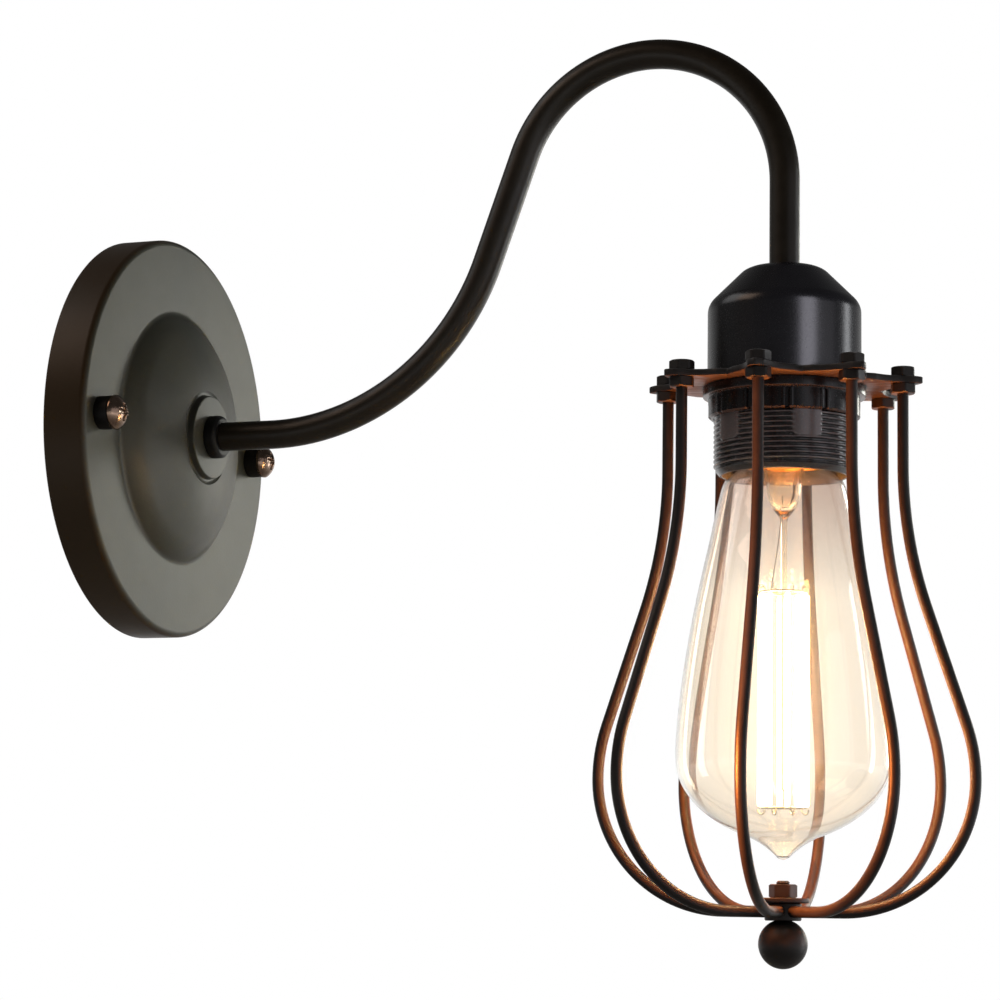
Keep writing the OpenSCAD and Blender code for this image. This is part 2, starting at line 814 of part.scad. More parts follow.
module bulb_stem() {
  color([0.90, 0.88, 0.82, 0.5])
    at_lamp(stem_z)
      rotate_extrude()
        polygon([[0, 0], [11.3, 0], [11.5, -0.6], [8, -1.6], [6.2, -3.6], [5.4, -7], [5.2, -12],
          [4.2, -15.4], [2.4, -17.6], [1.1, -19], [1.1, ring_lo - stem_z], [0, ring_lo - stem_z - 1]]);
}

module filament_supports() {
  color([0.72, 0.70, 0.66])
    at_lamp() {
      for (z = [ring_hi, ring_lo])
        translate([0, 0, z])
          difference() {
            cylinder(r = stick_ring + 0.3, h = 0.6);
            translate([0, 0, -1]) cylinder(r = stick_ring - 0.6, h = 3);
          }
      for (a = [0:90:270], z = [ring_hi, ring_lo])
        rotate([0, 0, a])
          translate([spoke_r0, -0.3, z]) cube([stick_ring - spoke_r0 - 0.3, 0.6, 0.6]);
    }
}

module filament_sticks() {
  color([1.0, 0.80, 0.40])
    at_lamp()
      for (a = [25:45:340])
        rotate([0, 0, a])
          translate([stick_ring, 0, ring_lo + 0.6]) cylinder(r = stick_r, h = ring_hi - ring_lo - 0.6);
}

wall_plate();
wall_bracket();
plate_screws();
screw_collars();
earth_screw();
terminal_block();
terminal_screws();
arm_tube();
arm_collar();
arm_lock_nut();
tooth_washer();
live_lead();
neutral_lead();
holder_cup();
holder_nut();
holder_skirt();
holder_insert();
holder_terminals();
screw_shell();
centre_contact();
shade_ring();
cage_flange();
cage_upper_nuts();
cage_lower_nuts();
cage_wire_1();
cage_wire_2();
cage_wire_3();
cage_wire_4();
cage_wire_5();
cage_wire_6();
cage_wire_7();
cage_wire_8();
hub_collar();
hub_disc();
hub_nut();
finial_ball();
bulb_glass();
bulb_cap();
bulb_insulator();
bulb_contact();
bulb_stem();
filament_supports();
filament_sticks();
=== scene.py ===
import math

import bmesh
import bpy
import numpy as np
from mathutils import Matrix, Vector


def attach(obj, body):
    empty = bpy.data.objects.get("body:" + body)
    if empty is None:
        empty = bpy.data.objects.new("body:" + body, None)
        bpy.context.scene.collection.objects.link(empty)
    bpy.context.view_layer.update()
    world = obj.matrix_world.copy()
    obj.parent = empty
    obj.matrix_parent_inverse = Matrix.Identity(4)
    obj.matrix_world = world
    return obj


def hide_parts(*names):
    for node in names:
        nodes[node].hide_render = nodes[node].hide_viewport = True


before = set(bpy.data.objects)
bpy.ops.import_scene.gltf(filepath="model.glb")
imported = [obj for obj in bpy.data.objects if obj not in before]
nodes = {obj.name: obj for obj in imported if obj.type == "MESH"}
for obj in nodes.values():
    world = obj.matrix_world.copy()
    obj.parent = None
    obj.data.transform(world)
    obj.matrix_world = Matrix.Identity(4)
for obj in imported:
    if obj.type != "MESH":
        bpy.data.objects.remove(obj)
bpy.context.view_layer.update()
scene = bpy.context.scene
mm = 0.001
# the lamp's axis stands upright at x = 0, this many millimetres out of the wall
lampY = -217.0
print("frame loaded:", len(nodes), "nodes")

# metres and degrees
shot = {
    "place": (-0.86864, -0.45579, -0.14987),
    "aim": (0.0, -0.12586, -0.02383),
    "roll": 0.8702,
    "lens": 108.6,
    "sensor": 36,
    "nearest": 0.01,
    "farthest": 30,
}


def makeCamera():
    lens = bpy.data.cameras.new("photoCamera")
    camera = bpy.data.objects.new("photoCamera", lens)
    scene.collection.objects.link(camera)
    lens.sensor_width = shot["sensor"]
    lens.lens = shot["lens"]
    lens.clip_start = shot["nearest"]
    lens.clip_end = shot["farthest"]
    place = Vector(shot["place"])
    look = (Vector(shot["aim"]) - place).to_track_quat("-Z", "Y").to_matrix().to_4x4()
    roll = Matrix.Rotation(math.radians(shot["roll"]), 4, "Z")
    camera.matrix_world = Matrix.Translation(place) @ look @ roll
    scene.camera = camera


makeCamera()
print("camera stands at", shot["place"])

# metres: points nearer than the gap are welded, and edges shorter than the sliver go
weld = {"gap": 2e-7, "sliver": 1e-8}


def addPiece(name, points, faces, body, replaced, finish, crease):
    mesh = bpy.data.meshes.new(name)
    mesh.vertices.add(len(points))
    mesh.vertices.foreach_set("co", points.astype(np.float32).ravel())
    mesh.loops.add(faces.size)
    mesh.loops.foreach_set("vertex_index", faces.astype(np.int32).ravel())
    mesh.polygons.add(len(faces))
    mesh.polygons.foreach_set("loop_start", (np.arange(len(faces)) * faces.shape[1]).astype(np.int32))
    mesh.update(calc_edges=True)
    # poles and seams are welded, and a shape that came out inside out is turned
    work = bmesh.new()
    work.from_mesh(mesh)
    bmesh.ops.remove_doubles(work, verts=work.verts, dist=weld["gap"])
    bmesh.ops.dissolve_degenerate(work, edges=work.edges, dist=weld["sliver"])
    if work.calc_volume(signed=True) < 0:
        bmesh.ops.reverse_faces(work, faces=work.faces)
    work.to_mesh(mesh)
    work.free()
    mesh.polygons.foreach_set("use_smooth", np.ones(len(mesh.polygons), bool))
    mesh.set_sharp_from_angle(angle=math.radians(crease))
    mesh.validate()
    piece = bpy.data.objects.new(name, mesh)
    scene.collection.objects.link(piece)
    mesh.materials.append(finish)
    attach(piece, body)
    if replaced:
        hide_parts(*replaced)
    return piece


def joinGrids(name, grids, body, replaced, finish, closedAlong=True, crease=32):
    # like grids, each rows x columns x 3 in millimetres, become one mesh:
    # columns always close round, and rows close when closedAlong
    rows, columns = grids[0].shape[:2]
    lastRow = rows if closedAlong else rows - 1
    a = np.arange(lastRow)[:, None] * columns
    b = (np.arange(lastRow)[:, None] + 1) % rows * columns
    u = np.arange(columns)[None, :]
    w = (u + 1) % columns
    faces = np.stack([a + u, a + w, b + w, b + u], axis=-1).reshape(-1, 4)
    shift = np.arange(len(grids))[:, None, None] * rows * columns
    points = np.concatenate([grid.reshape(-1, 3) for grid in grids]) * mm
    return addPiece(name, points, (faces[None] + shift).reshape(-1, 4), body, replaced, finish, crease)


def placeMesh(name, grid, body, replaced, finish, closedAlong=True, crease=32):
    return joinGrids(name, [grid], body, replaced, finish, closedAlong, crease)


def softCorners(points, radius, steps):
    # every corner of an open outline becomes a parabola arc that starts and ends radius away from it,
    # or just under half way to a nearer neighbour: (1-s)^2 A + 2 s (1-s) P + s^2 B
    justUnderHalf = 0.48
    tiny = 1e-9
    p = np.asarray(points, float)
    radius = np.broadcast_to(np.asarray(radius, float), len(p)).copy()
    radius[0] = radius[-1] = 0
    before = np.roll(p, 1, 0) - p
    after = np.roll(p, -1, 0) - p
    lengthBefore = np.linalg.norm(before, axis=1)[:, None]
    lengthAfter = np.linalg.norm(after, axis=1)[:, None]
    reach = np.minimum(radius[:, None], justUnderHalf * np.minimum(lengthBefore, lengthAfter))
    start = p + before / np.maximum(lengthBefore, tiny) * reach
    end = p + after / np.maximum(lengthAfter, tiny) * reach
    s = np.linspace(0, 1, steps)[None, :, None]
    arcs = (1 - s) ** 2 * start[:, None] + 2 * s * (1 - s) * p[:, None] + s**2 * end[:, None]
    flat = arcs.reshape(-1, 2)
    # points that fall on the one before them are dropped
    keep = np.r_[True, np.linalg.norm(np.diff(flat, axis=0), axis=1) > 1e-6]
    return flat[keep]


def ringSection(bore, radius, low, high, corner, steps):
    # the section of a plain ring with eased corners
    return softCorners([[bore, low], [radius, low], [radius, high], [bore, high]], corner, steps)


def arc(centre, radius, fromAngle, toAngle, steps):
    # points round a circle: centre + radius (cos a, sin a)
    a = np.radians(np.linspace(fromAngle, toAngle, steps))
    return np.c_[centre[0] + radius * np.cos(a), centre[1] + radius * np.sin(a)]


def awayFrom(a, turn, count):
    # degrees from the nearest of count marks that stand evenly round, one of them at turn
    gap = 360 / count
    return (np.degrees(a) - turn + gap / 2) % gap - gap / 2


def spin(profile, count, bump=None):
    # a profile of (radius, height) is carried round +Z: (r cos a, r sin a, h); bump(a, r, h) moves its points
    a = np.linspace(0, 2 * np.pi, count, endpoint=False)[None, :]
    r = np.repeat(np.asarray(profile)[:, :1], count, 1)
    h = np.repeat(np.asarray(profile)[:, 1:], count, 1)
    if bump is not None:
        r, h = bump(a, r, h)
    return np.stack([r * np.cos(a), r * np.sin(a), h], axis=-1)


def atLamp(grid, z=0.0):
    return grid + np.array([0.0, lampY, z])


def outOfWall(grid, x=0.0):
    # +Z is turned onto -Y, then moved along the plate
    return np.stack([grid[..., 0] + x, -grid[..., 2], grid[..., 1]], axis=-1)


def rod(path, sideways, radius, count, bore=0.0):
    # a round section carried along a flat path: P + R (n cos a + b sin a), n in the path's plane, b across it
    path = np.asarray(path, float)
    along = np.gradient(path, axis=0)
    along /= np.linalg.norm(along, axis=1)[:, None]
    across = np.asarray(sideways, float)[None, :]
    normal = np.cross(along, across)
    a = np.linspace(0, 2 * np.pi, count, endpoint=False)[None, :, None]
    section = normal[:, None] * np.cos(a) + across[:, None] * np.sin(a)
    outside = path[:, None] + section * radius
    if bore:
        return np.concatenate([outside, (path[:, None] + section * bore)[::-1]])
    tips = np.repeat(path[[0, -1]][:, None], count, 1)
    return np.concatenate([tips[:1], outside, tips[1:]])


def radialRod(turn, r, z, radius, count):
    # a round wire in the upright plane that holds the lamp's axis and stands at turn, in radians
    c = math.cos(turn)
    s = math.sin(turn)
    return rod(np.c_[r * c, r * s + lampY, z], (-s, c, 0), radius, count)


def flatPath(start, heading, runs, gap):
    # straights and bends end to end in a plane: heading turns at 1/radius per millimetre along the path;
    # a run is (straight length, bend radius, degrees turned), with points about gap apart in its bend
    place = np.array(start, float)
    angle = math.radians(heading)
    points = [np.array([start], float)]
    for straight, radius, turn in runs:
        if straight > 0:
            s = np.linspace(0, straight, max(2, int(straight / (4 * gap)) + 2))[1:, None]
            points.append(place + s * np.array([[math.cos(angle), math.sin(angle)]]))
            place = points[-1][-1]
        if radius > 0:
            side = math.copysign(1.0, turn)
            sweep = math.radians(abs(turn))
            centre = place + side * radius * np.array([-math.sin(angle), math.cos(angle)])
            t = np.linspace(0, sweep, max(6, int(radius * sweep / gap)))[1:]
            a = angle + side * (t - math.pi / 2)
            points.append(centre + radius * np.c_[np.cos(a), np.sin(a)])
            place = points[-1][-1]
            angle += side * sweep
    return np.concatenate(points)


def newMaterial(name):
    material = bpy.data.materials.new(name)
    material.use_nodes = True
    tree = material.node_tree
    return material, tree, tree.nodes["Principled BSDF"]


def noise(tree, scale, detail, roughness, stretch=None):
    place = tree.nodes.new("ShaderNodeTexCoord").outputs["Object"]
    node = tree.nodes.new("ShaderNodeTexNoise")
    node.inputs["Scale"].default_value = scale
    node.inputs["Detail"].default_value = detail
    node.inputs["Roughness"].default_value = roughness
    if stretch:
        mapping = tree.nodes.new("ShaderNodeMapping")
        mapping.inputs["Scale"].default_value = stretch
        tree.links.new(place, mapping.inputs["Vector"])
        place = mapping.outputs["Vector"]
    tree.links.new(place, node.inputs["Vector"])
    return node.outputs["Fac"]


def spread(tree, source, low, high, fromLow=0.3, fromHigh=0.7):
    node = tree.nodes.new("ShaderNodeMapRange")
    node.inputs["From Min"].default_value = fromLow
    node.inputs["From Max"].default_value = fromHigh
    node.inputs["To Min"].default_value = low
    node.inputs["To Max"].default_value = high
    tree.links.new(source, node.inputs["Value"])
    return node.outputs["Result"]


def blendColours(tree, factor, first, second):
    # first is a colour, or a socket that gives one
    node = tree.nodes.new("ShaderNodeMix")
    node.data_type = "RGBA"
    tree.links.new(factor, node.inputs["Factor"])
    if isinstance(first, bpy.types.NodeSocket):
        tree.links.new(first, node.inputs["A"])
    else:
        node.inputs["A"].default_value = (*first, 1)
    node.inputs["B"].default_value = (*second, 1)
    return node.outputs["Result"]


def mottle(tree, shader, clouds, first, second):
    tint = spread(tree, clouds, 0.0, 1.0)
    tree.links.new(blendColours(tree, tint, first, second), shader.inputs["Base Color"])


def varyRoughness(tree, shader, source, low, high):
    tree.links.new(spread(tree, source, low, high), shader.inputs["Roughness"])


def raiseSkin(tree, shader, height, distance, strength):
    bump = tree.nodes.new("ShaderNodeBump")
    bump.inputs["Distance"].default_value = distance
    bump.inputs["Strength"].default_value = strength
    tree.links.new(height, bump.inputs["Height"])
    tree.links.new(bump.outputs["Normal"], shader.inputs["Normal"])


def vectorMath(tree, operation, source, value):
    node = tree.nodes.new("ShaderNodeVectorMath")
    node.operation = operation
    tree.links.new(source, node.inputs[0])
    node.inputs[1].default_value = value
    return node


def distanceFrom(tree, centre, flatten):
    # from a centre in metres, with the distance along an axis left out where flatten is 0
    place = tree.nodes.new("ShaderNodeTexCoord").outputs["Object"]
    moved = vectorMath(tree, "SUBTRACT", place, centre).outputs["Vector"]
    flat = vectorMath(tree, "MULTIPLY", moved, flatten).outputs["Vector"]
    return vectorMath(tree, "LENGTH", flat, (0, 0, 0)).outputs["Value"]


def enamel(name, colour, worn, rough, gloss, peel=1500.0, peelDepth=0.00004, patch=60.0, cloudy=0.06):
    # sprayed paint: an orange-peel skin, with patches of slightly other colour and sheen
    material, tree, shader = newMaterial(name)
    mottle(tree, shader, noise(tree, patch, 4.0, 0.6), colour, worn)
    sheenPatch = patch * 3.1
    varyRoughness(tree, shader, noise(tree, sheenPatch, 5.0, 0.6), rough - cloudy, rough + cloudy)
    raiseSkin(tree, shader, noise(tree, peel, 2.0, 0.5), peelDepth, 0.6)
    shader.inputs["Specular IOR Level"].default_value = gloss
    return material


def tintByRadius(material, centre, flatten, fromRadius, toRadius, colour):
    # the distance from an axis blends the finish's own colour into another one
    tree = material.node_tree
    base = tree.nodes["Principled BSDF"].inputs["Base Color"]
    own = base.links[0].from_socket
    share = spread(tree, distanceFrom(tree, centre, flatten), 0.0, 1.0, fromRadius, toRadius)
    tree.links.new(blendColours(tree, share, own, colour), base)


def metal(name, colour, dark, rough, grain=(1.0, 1.0, 1.0)):
    # plated or bare metal: drawn grain in the roughness and bump, tarnish in the colour
    material, tree, shader = newMaterial(name)
    mottle(tree, shader, noise(tree, 140.0, 5.0, 0.65), colour, dark)
    drawn = noise(tree, 700.0, 3.0, 0.6, grain)
    varyRoughness(tree, shader, drawn, rough - 0.08, rough + 0.1)
    raiseSkin(tree, shader, drawn, 0.00002, 0.4)
    shader.inputs["Metallic"].default_value = 1.0
    return material


def moulded(name, colour, second, rough, gloss, grainScale=2600.0, depth=0.000006):
    # moulded plastic or porcelain: fine mould grain with cloudy colour
    material, tree, shader = newMaterial(name)
    mottle(tree, shader, noise(tree, 90.0, 3.0, 0.5), colour, second)
    grain = noise(tree, grainScale, 2.0, 0.5)
    varyRoughness(tree, shader, grain, rough - 0.02, rough + 0.03)
    raiseSkin(tree, shader, grain, depth, 0.3)
    shader.inputs["Specular IOR Level"].default_value = gloss
    return material


def clearGlass(name, colour, rough=0.0, paintedReflection=None, glare=0.0):
    # glass with faint drawn waves in its skin
    material, tree, shader = newMaterial(name)
    shader.inputs["Base Color"].default_value = (*colour, 1)
    shader.inputs["Transmission Weight"].default_value = 1.0
    shader.inputs["IOR"].default_value = 1.45
    shader.inputs["Roughness"].default_value = rough
    shader.inputs["Coat Weight"].default_value = glare
    shader.inputs["Coat Roughness"].default_value = 0.3
    if paintedReflection:
        # painted reflection: the glass takes a brown tint towards the neck, which stands for the dark holder
        # mirrored in it
        place = tree.nodes.new("ShaderNodeTexCoord")
        height = tree.nodes.new("ShaderNodeSeparateXYZ")
        tree.links.new(place.outputs["Object"], height.inputs[0])
        share = spread(tree, height.outputs["Z"], 0.0, 1.0, paintedReflection["from"], paintedReflection["to"])
        tree.links.new(blendColours(tree, share, colour, paintedReflection["colour"]), shader.inputs["Base Color"])
    waves = noise(tree, 30.0, 2.0, 0.5, (1.0, 1.0, 0.35))
    raiseSkin(tree, shader, waves, 0.00006, 0.3)
    return material


def lit(name, colour, strength):
    # a glowing stick with a grainy skin
    material, tree, shader = newMaterial(name)
    shader.inputs["Base Color"].default_value = (*colour, 1)
    shader.inputs["Emission Color"].default_value = (*colour, 1)
    shader.inputs["Emission Strength"].default_value = strength
    grain = noise(tree, 900.0, 2.0, 0.5)
    varyRoughness(tree, shader, grain, 0.5, 0.8)
    raiseSkin(tree, shader, grain, 0.00005, 0.5)
    return material


plateEnamel = enamel("plateEnamel", (0.057, 0.058, 0.043), (0.051, 0.052, 0.039), 0.42, 0.26, cloudy=0.012)
# painted shade: towards the plate's edge the grey paint turns a darker brown; the brown is the rim's own
# tone, and the darkening is shade painted onto the rim
tintByRadius(plateEnamel, (0, 0, 0), (1, 0, 1), 0.0632, 0.0643, (0.044, 0.026, 0.009))
armEnamel = enamel("armEnamel", (0.0150, 0.0100, 0.0045), (0.021, 0.015, 0.007), 0.38, 0.34, patch=90.0)
cageEnamel = enamel("cageEnamel", (0.0110, 0.0085, 0.0075), (0.017, 0.013, 0.011), 0.42, 0.30,
                    peel=1900.0, peelDepth=0.00003, patch=160.0)
holderBlack = moulded("holderBlack", (0.0075, 0.0073, 0.0086), (0.0105, 0.0102, 0.0122), 0.25, 0.50,
                      grainScale=1500.0, depth=0.000001)
threadBlack = moulded("threadBlack", (0.014, 0.012, 0.013), (0.020, 0.017, 0.018), 0.25, 1.0)
# painted highlight: the thread's crests are painted light grey, standing for the bright lines that light
# draws along them
tintByRadius(threadBlack, (0, lampY * mm, 0), (1, 1, 0), 0.0207, 0.0211, (0.21, 0.182, 0.184))
collarBlack = moulded("collarBlack", (0.006, 0.006, 0.0055), (0.010, 0.009, 0.008), 0.5, 0.25)
screwMetal = metal("screwMetal", (0.44, 0.31, 0.23), (0.14, 0.09, 0.065), 0.20)
zincSteel = metal("zincSteel", (0.60, 0.61, 0.63), (0.45, 0.46, 0.49), 0.34, (1.0, 1.0, 0.15))
brass = metal("brass", (0.70, 0.50, 0.22), (0.50, 0.34, 0.14), 0.30)
capBrass = metal("capBrass", (0.74, 0.56, 0.28), (0.55, 0.40, 0.18), 0.28, (0.2, 0.2, 1.0))
solder = metal("solder", (0.55, 0.55, 0.53), (0.40, 0.40, 0.38), 0.45)
supportWire = metal("supportWire", (0.58, 0.55, 0.50), (0.42, 0.38, 0.32), 0.30)
porcelain = moulded("porcelain", (0.74, 0.71, 0.64), (0.68, 0.65, 0.57), 0.30, 0.5)
creamNylon = moulded("creamNylon", (0.78, 0.76, 0.68), (0.73, 0.70, 0.61), 0.42, 0.4)
brownCover = moulded("brownCover", (0.10, 0.034, 0.014), (0.082, 0.027, 0.011), 0.42, 0.4, 1800.0)
blueCover = moulded("blueCover", (0.014, 0.055, 0.30), (0.011, 0.045, 0.25), 0.42, 0.4, 1800.0)
fusedBlack = moulded("fusedBlack", (0.012, 0.012, 0.014), (0.02, 0.018, 0.022), 0.14, 0.5)
# painted reflection: the brown tint towards the neck stands for the dark holder mirrored in the glass
paintedNeckReflection = {"from": -0.056, "to": -0.020, "colour": (0.76, 0.65, 0.58)}
amberGlass = clearGlass("amberGlass", (0.982, 0.928, 0.846), paintedReflection=paintedNeckReflection, glare=0.6)
stemGlass = clearGlass("stemGlass", (1.0, 0.93, 0.82), rough=0.03)
litStick = lit("litStick", (1.0, 0.72, 0.36), 40.0)
print("finishes made")

keptNodes = {
    "wall_bracket": zincSteel, "earth_screw": brass, "terminal_block": creamNylon,
    "terminal_screws": zincSteel, "arm_lock_nut": zincSteel, "tooth_washer": zincSteel,
    "live_lead": brownCover, "neutral_lead": blueCover, "holder_nut": zincSteel,
    "holder_insert": porcelain, "holder_terminals": brass, "screw_shell": brass,
    "centre_contact": brass, "bulb_cap": capBrass, "bulb_insulator": fusedBlack,
    "bulb_contact": solder,
}
for nodeName, finish in keptNodes.items():
    nodes[nodeName].data.materials.clear()
    nodes[nodeName].data.materials.append(finish)

plate = {
    "radius": 64.5, "depth": 14.0, "rise": 12.0, "domeRadius": 40.4, "sheet": 1.0, "rim": 2.0,
    "flank": 18.0, "flankSlope": 50.0, "foot": 2.5, "hole": 4.65, "backEdge": 0.35, "backEasing": 0.3,
    "seatRadius": 13.4, "seatStep": 1.5, "seatCorner": 0.5, "groove": 0.8, "grooveFloor": 1.0,
    "grooveEdge": 1.9,
}


def plateProfile(inset):
    # outside of the spun sheet, set in by inset: seat with its groove, flat cap, round flank, concave foot,
    # flat face, rounded rim
    flat, dome, seat, foot, rim = (plate[k] for k in ("depth", "domeRadius", "seatRadius", "foot", "rim"))
    flank = plate["flank"]
    slope = math.radians(plate["flankSlope"])
    top = flat + plate["rise"]
    domeTop = top - plate["seatStep"]
    flankX = dome - flank * math.sin(slope)
    flankZ = flat - flank * math.cos(slope)
    # the cap's arc runs through the seat's edge and meets the flank's arc with one slope
    a = seat**2 + domeTop**2 + flank**2 - flankX**2 - flankZ**2
    b = 2 * (domeTop - flankZ)
    centre = min(np.roots([4 * flank**2 - b**2, 2 * a * b - 8 * flank**2 * domeTop,
                           4 * flank**2 * (seat**2 + domeTop**2) - a**2]))
    capRadius = math.hypot(seat, domeTop - centre)
    join = 90 - math.degrees(math.atan2(flankX, flankZ - centre))
    footX = flankX + math.sqrt((flank + foot) ** 2 - (flat + foot - flankZ) ** 2)
    touch = math.degrees(math.atan2(flat + foot - flankZ, footX - flankX))
    grooveOut = seat + plate["grooveEdge"]
    start = math.degrees(math.acos(grooveOut / capRadius))
    grooveLow = domeTop - (plate["groove"] if inset == 0 else 0.0) - inset
    capEdge = centre + (capRadius - inset) * math.sin(math.radians(start))
    seatLine = softCorners([
        [plate["hole"], top - inset], [seat - inset, top - inset], [seat - inset, grooveLow],
        [seat + plate["grooveFloor"], grooveLow], [grooveOut, capEdge],
    ], plate["seatCorner"], 5)
    return np.concatenate([
        seatLine,
        arc((0, centre), capRadius - inset, start - 0.6, join, 30),
        arc((flankX, flankZ), flank - inset, join, touch, 24)[1:],
        arc((footX, flat + foot), foot + inset, 180 + touch, 270, 12)[1:],
        arc((plate["radius"] - rim, flat - rim), rim - inset, 90, 0, 12),
        [[plate["radius"] - inset, plate["backEdge"]],
         [plate["radius"] - max(inset, plate["backEasing"]), 0.0]],
    ])


plateSheet = np.concatenate([plateProfile(0), plateProfile(plate["sheet"])[::-1]])
placeMesh("wallPlate", outOfWall(spin(plateSheet, 256)), "fixture", ["wall_plate"], plateEnamel)

screws = {
    "x": 53.5, "head": 5.4, "headHeight": 4.2, "dome": 6.3, "headEdge": 0.35, "shank": 2.0,
    "shankLength": 14.0, "recess": 1.7, "recessSlope": 0.1, "recessZone": 1.9, "arm": 2.7, "width": 0.62,
    "barEdge": 0.07, "collar": 5.2, "collarHeight": 4.5, "collarBore": 2.15,
}


def crossedHead(a, r, h):
    # a cross recess sinks the top where the point lies inside either bar: soft steps across each bar's edge
    def within(value, limit):
        return 1 / (1 + np.exp((np.abs(value) - limit) / screws["barEdge"]))

    x = r * np.cos(a)
    y = r * np.sin(a)
    bars = np.maximum(within(x, screws["arm"]) * within(y, screws["width"]),
                      within(y, screws["arm"]) * within(x, screws["width"]))
    top = h > screws["headHeight"] - screws["recessZone"]
    return r, h - np.where(top, bars * screws["recess"] * (1 - screws["recessSlope"] * r), 0)


def plateScrewGrid():
    head, dome, edge = (screws[k] for k in ("head", "dome", "headEdge"))
    r = np.linspace(head - 0.02, 0, 46)
    cap = np.c_[r, screws["headHeight"] - dome + np.sqrt(dome**2 - r**2)]
    side = softCorners([[0, 0], [head - edge, 0], [head, edge], cap[0]], 0.3, 4)
    low = -screws["shankLength"]
    shank = np.array([[0, low], [screws["shank"], low], [screws["shank"], 0.0]])
    return spin(np.concatenate([shank, side[1:], cap]), 96, crossedHead)


def onBothSides(grid, height):
    # one grid at each screw of the plate, height millimetres out of the wall
    return [outOfWall(grid + np.array([0, 0, height]), side * screws["x"]) for side in (-1, 1)]


joinGrids("plateScrews", onBothSides(plateScrewGrid(), plate["depth"] + screws["collarHeight"]), "fixture",
          ["plate_screws"], screwMetal, False)
collar = ringSection(screws["collarBore"], screws["collar"], 0, screws["collarHeight"], 0.35, 4)
joinGrids("screwCollars", onBothSides(spin(collar, 64), plate["depth"]), "fixture", ["screw_collars"],
          collarBlack)
print("wall plate and its screws made")

arm = {
    "radius": 4.6, "bore": 3.6, "wallEnd": 17.0, "sweep": 78.0, "arch": 43.5, "reach": -lampY, "top": 114.5,
    "lean": 70.4, "lampEnd": 36.5,
    # the collar's outline, as radius and distance from the wall
    "collar": [[4.65, 26], [6.9, 26], [6.9, 29.2], [6.0, 30.1], [4.65, 30.1]],
}


def armPath():
    # out of the wall, up the lower sweep, over the arch and down to the lampholder, drawn in the plane x = 0
    lean = math.radians(arm["lean"])
    bends = arm["sweep"] + arm["arch"]
    rise = (arm["top"] - bends * (1 - math.cos(lean))) / math.sin(lean)
    bendStart = arm["reach"] - arm["arch"] - bends * math.sin(lean) - rise * math.cos(lean)
    fall = arm["top"] - arm["arch"] - arm["lampEnd"]
    lowerBend = (bendStart - arm["wallEnd"], arm["sweep"], arm["lean"])
    upperBend = (rise, arm["arch"], -arm["lean"] - 90)
    path = flatPath((arm["wallEnd"], 0), 0, [lowerBend, upperBend, (fall, 0, 0)], 1.6)
    return np.c_[np.zeros(len(path)), -path[:, 0], path[:, 1]]


armTube = rod(armPath(), (1, 0, 0), arm["radius"], 48, arm["bore"])
placeMesh("armTube", armTube, "fixture", ["arm_tube"], armEnamel)
armCollar = outOfWall(spin(softCorners(arm["collar"], 0.4, 5), 64))
placeMesh("armCollar", armCollar, "fixture", ["arm_collar"], collarBlack)
print("arm made")

# seat is the height of the flange's underside and low of the skirt's foot; the thread and the pads are set
# from these two
holder = {
    "seat": 7.0, "flange": 2.0, "neck": 20.3, "neckTop": 23.0, "skirt": 21.2, "root": 20.4, "low": -19.9,
    "bore": 15.6, "pitch": 1.5, "firstRidge": 2.4, "threadLow": 1.9, "threadHigh": 1.5, "crest": 0.36,
    "crestEdge": 0.25, "pads": 5, "padAngle": 27.0, "padTurn": -145.3, "padLow": 9.0, "padCorner": 1.6,
    # the lip round the skirt's mouth, as radius and height over the foot
    "mouth": [[20.4, 1.85], [20.7, 1.6], [19.3, 0], [18.6, 0], [18.6, 9.4], [15.6, 9.4]],
}
cup = {
    "radius": 23.15, "height": 34.8, "mouth": 20.4, "inside": 18.8, "lip": 29.0, "roof": 3.0, "hole": 4.65,
    # how far in from the side, and how far below the top, each corner of the slope stands
    "slopeLow": 11.6, "slopeIn": 10.6, "slopeTop": 1.0, "topIn": 12.9, "roofIn": 12.6, "insideLow": 12.5,
}


def cupProfile():
    low = holder["seat"] + holder["flange"]
    top = low + cup["height"]
    r = cup["radius"]
    outside = softCorners([
        [cup["mouth"], low], [r, low], [r, top - cup["slopeLow"]],
        [r - cup["slopeIn"], top - cup["slopeTop"]], [r - cup["topIn"], top], [cup["hole"], top],
    ], [0.3, 0.5, 2.6, 1.6, 1.0, 0.2], 12)
    inside = softCorners([
        [cup["hole"], top - cup["roof"]], [r - cup["roofIn"], top - cup["roof"]],
        [cup["inside"], top - cup["insideLow"]], [cup["inside"], cup["lip"]], [cup["mouth"], cup["lip"]],
    ], 0.8, 4)
    return np.concatenate([outside, inside])


placeMesh("holderCup", atLamp(spin(cupProfile(), 160)), "fixture", ["holder_cup"], holderBlack)


def ramp(value, width):
    return np.clip(value / width, 0, 1)


def skirtBump(a, r, h):
    # a helical ridge: crest where the height less the turn's share of pitch is whole, and smooth pads over it
    low, seat, root = (holder[k] for k in ("low", "seat", "root"))
    phase = (h - low - holder["firstRidge"]) / holder["pitch"] - a / (2 * np.pi)
    saw = np.abs(phase - np.round(phase))
    ridge = ramp(holder["crest"] - saw, holder["crestEdge"])
    span = ramp(h - low - holder["threadLow"], 0.5) * ramp(seat - holder["threadHigh"] - h, 0.5)
    away = np.abs(awayFrom(a, holder["padTurn"], holder["pads"]))
    halfPad = holder["padAngle"] / 2
    flatness = 0.5 - 0.5 * np.tanh((away - halfPad + 0.6) / 0.8)
    corner = np.clip((away / halfPad) ** 6, 0, 1) * holder["padCorner"]
    pad = flatness * ramp(h - low - holder["padLow"] - corner, 0.7) * ramp(seat - 0.2 - h, 0.3)
    outer = r > root - 1e-6
    grown = root + (holder["skirt"] - root) * np.maximum(ridge * span, pad)
    return np.where(outer, np.maximum(r, grown), r), h


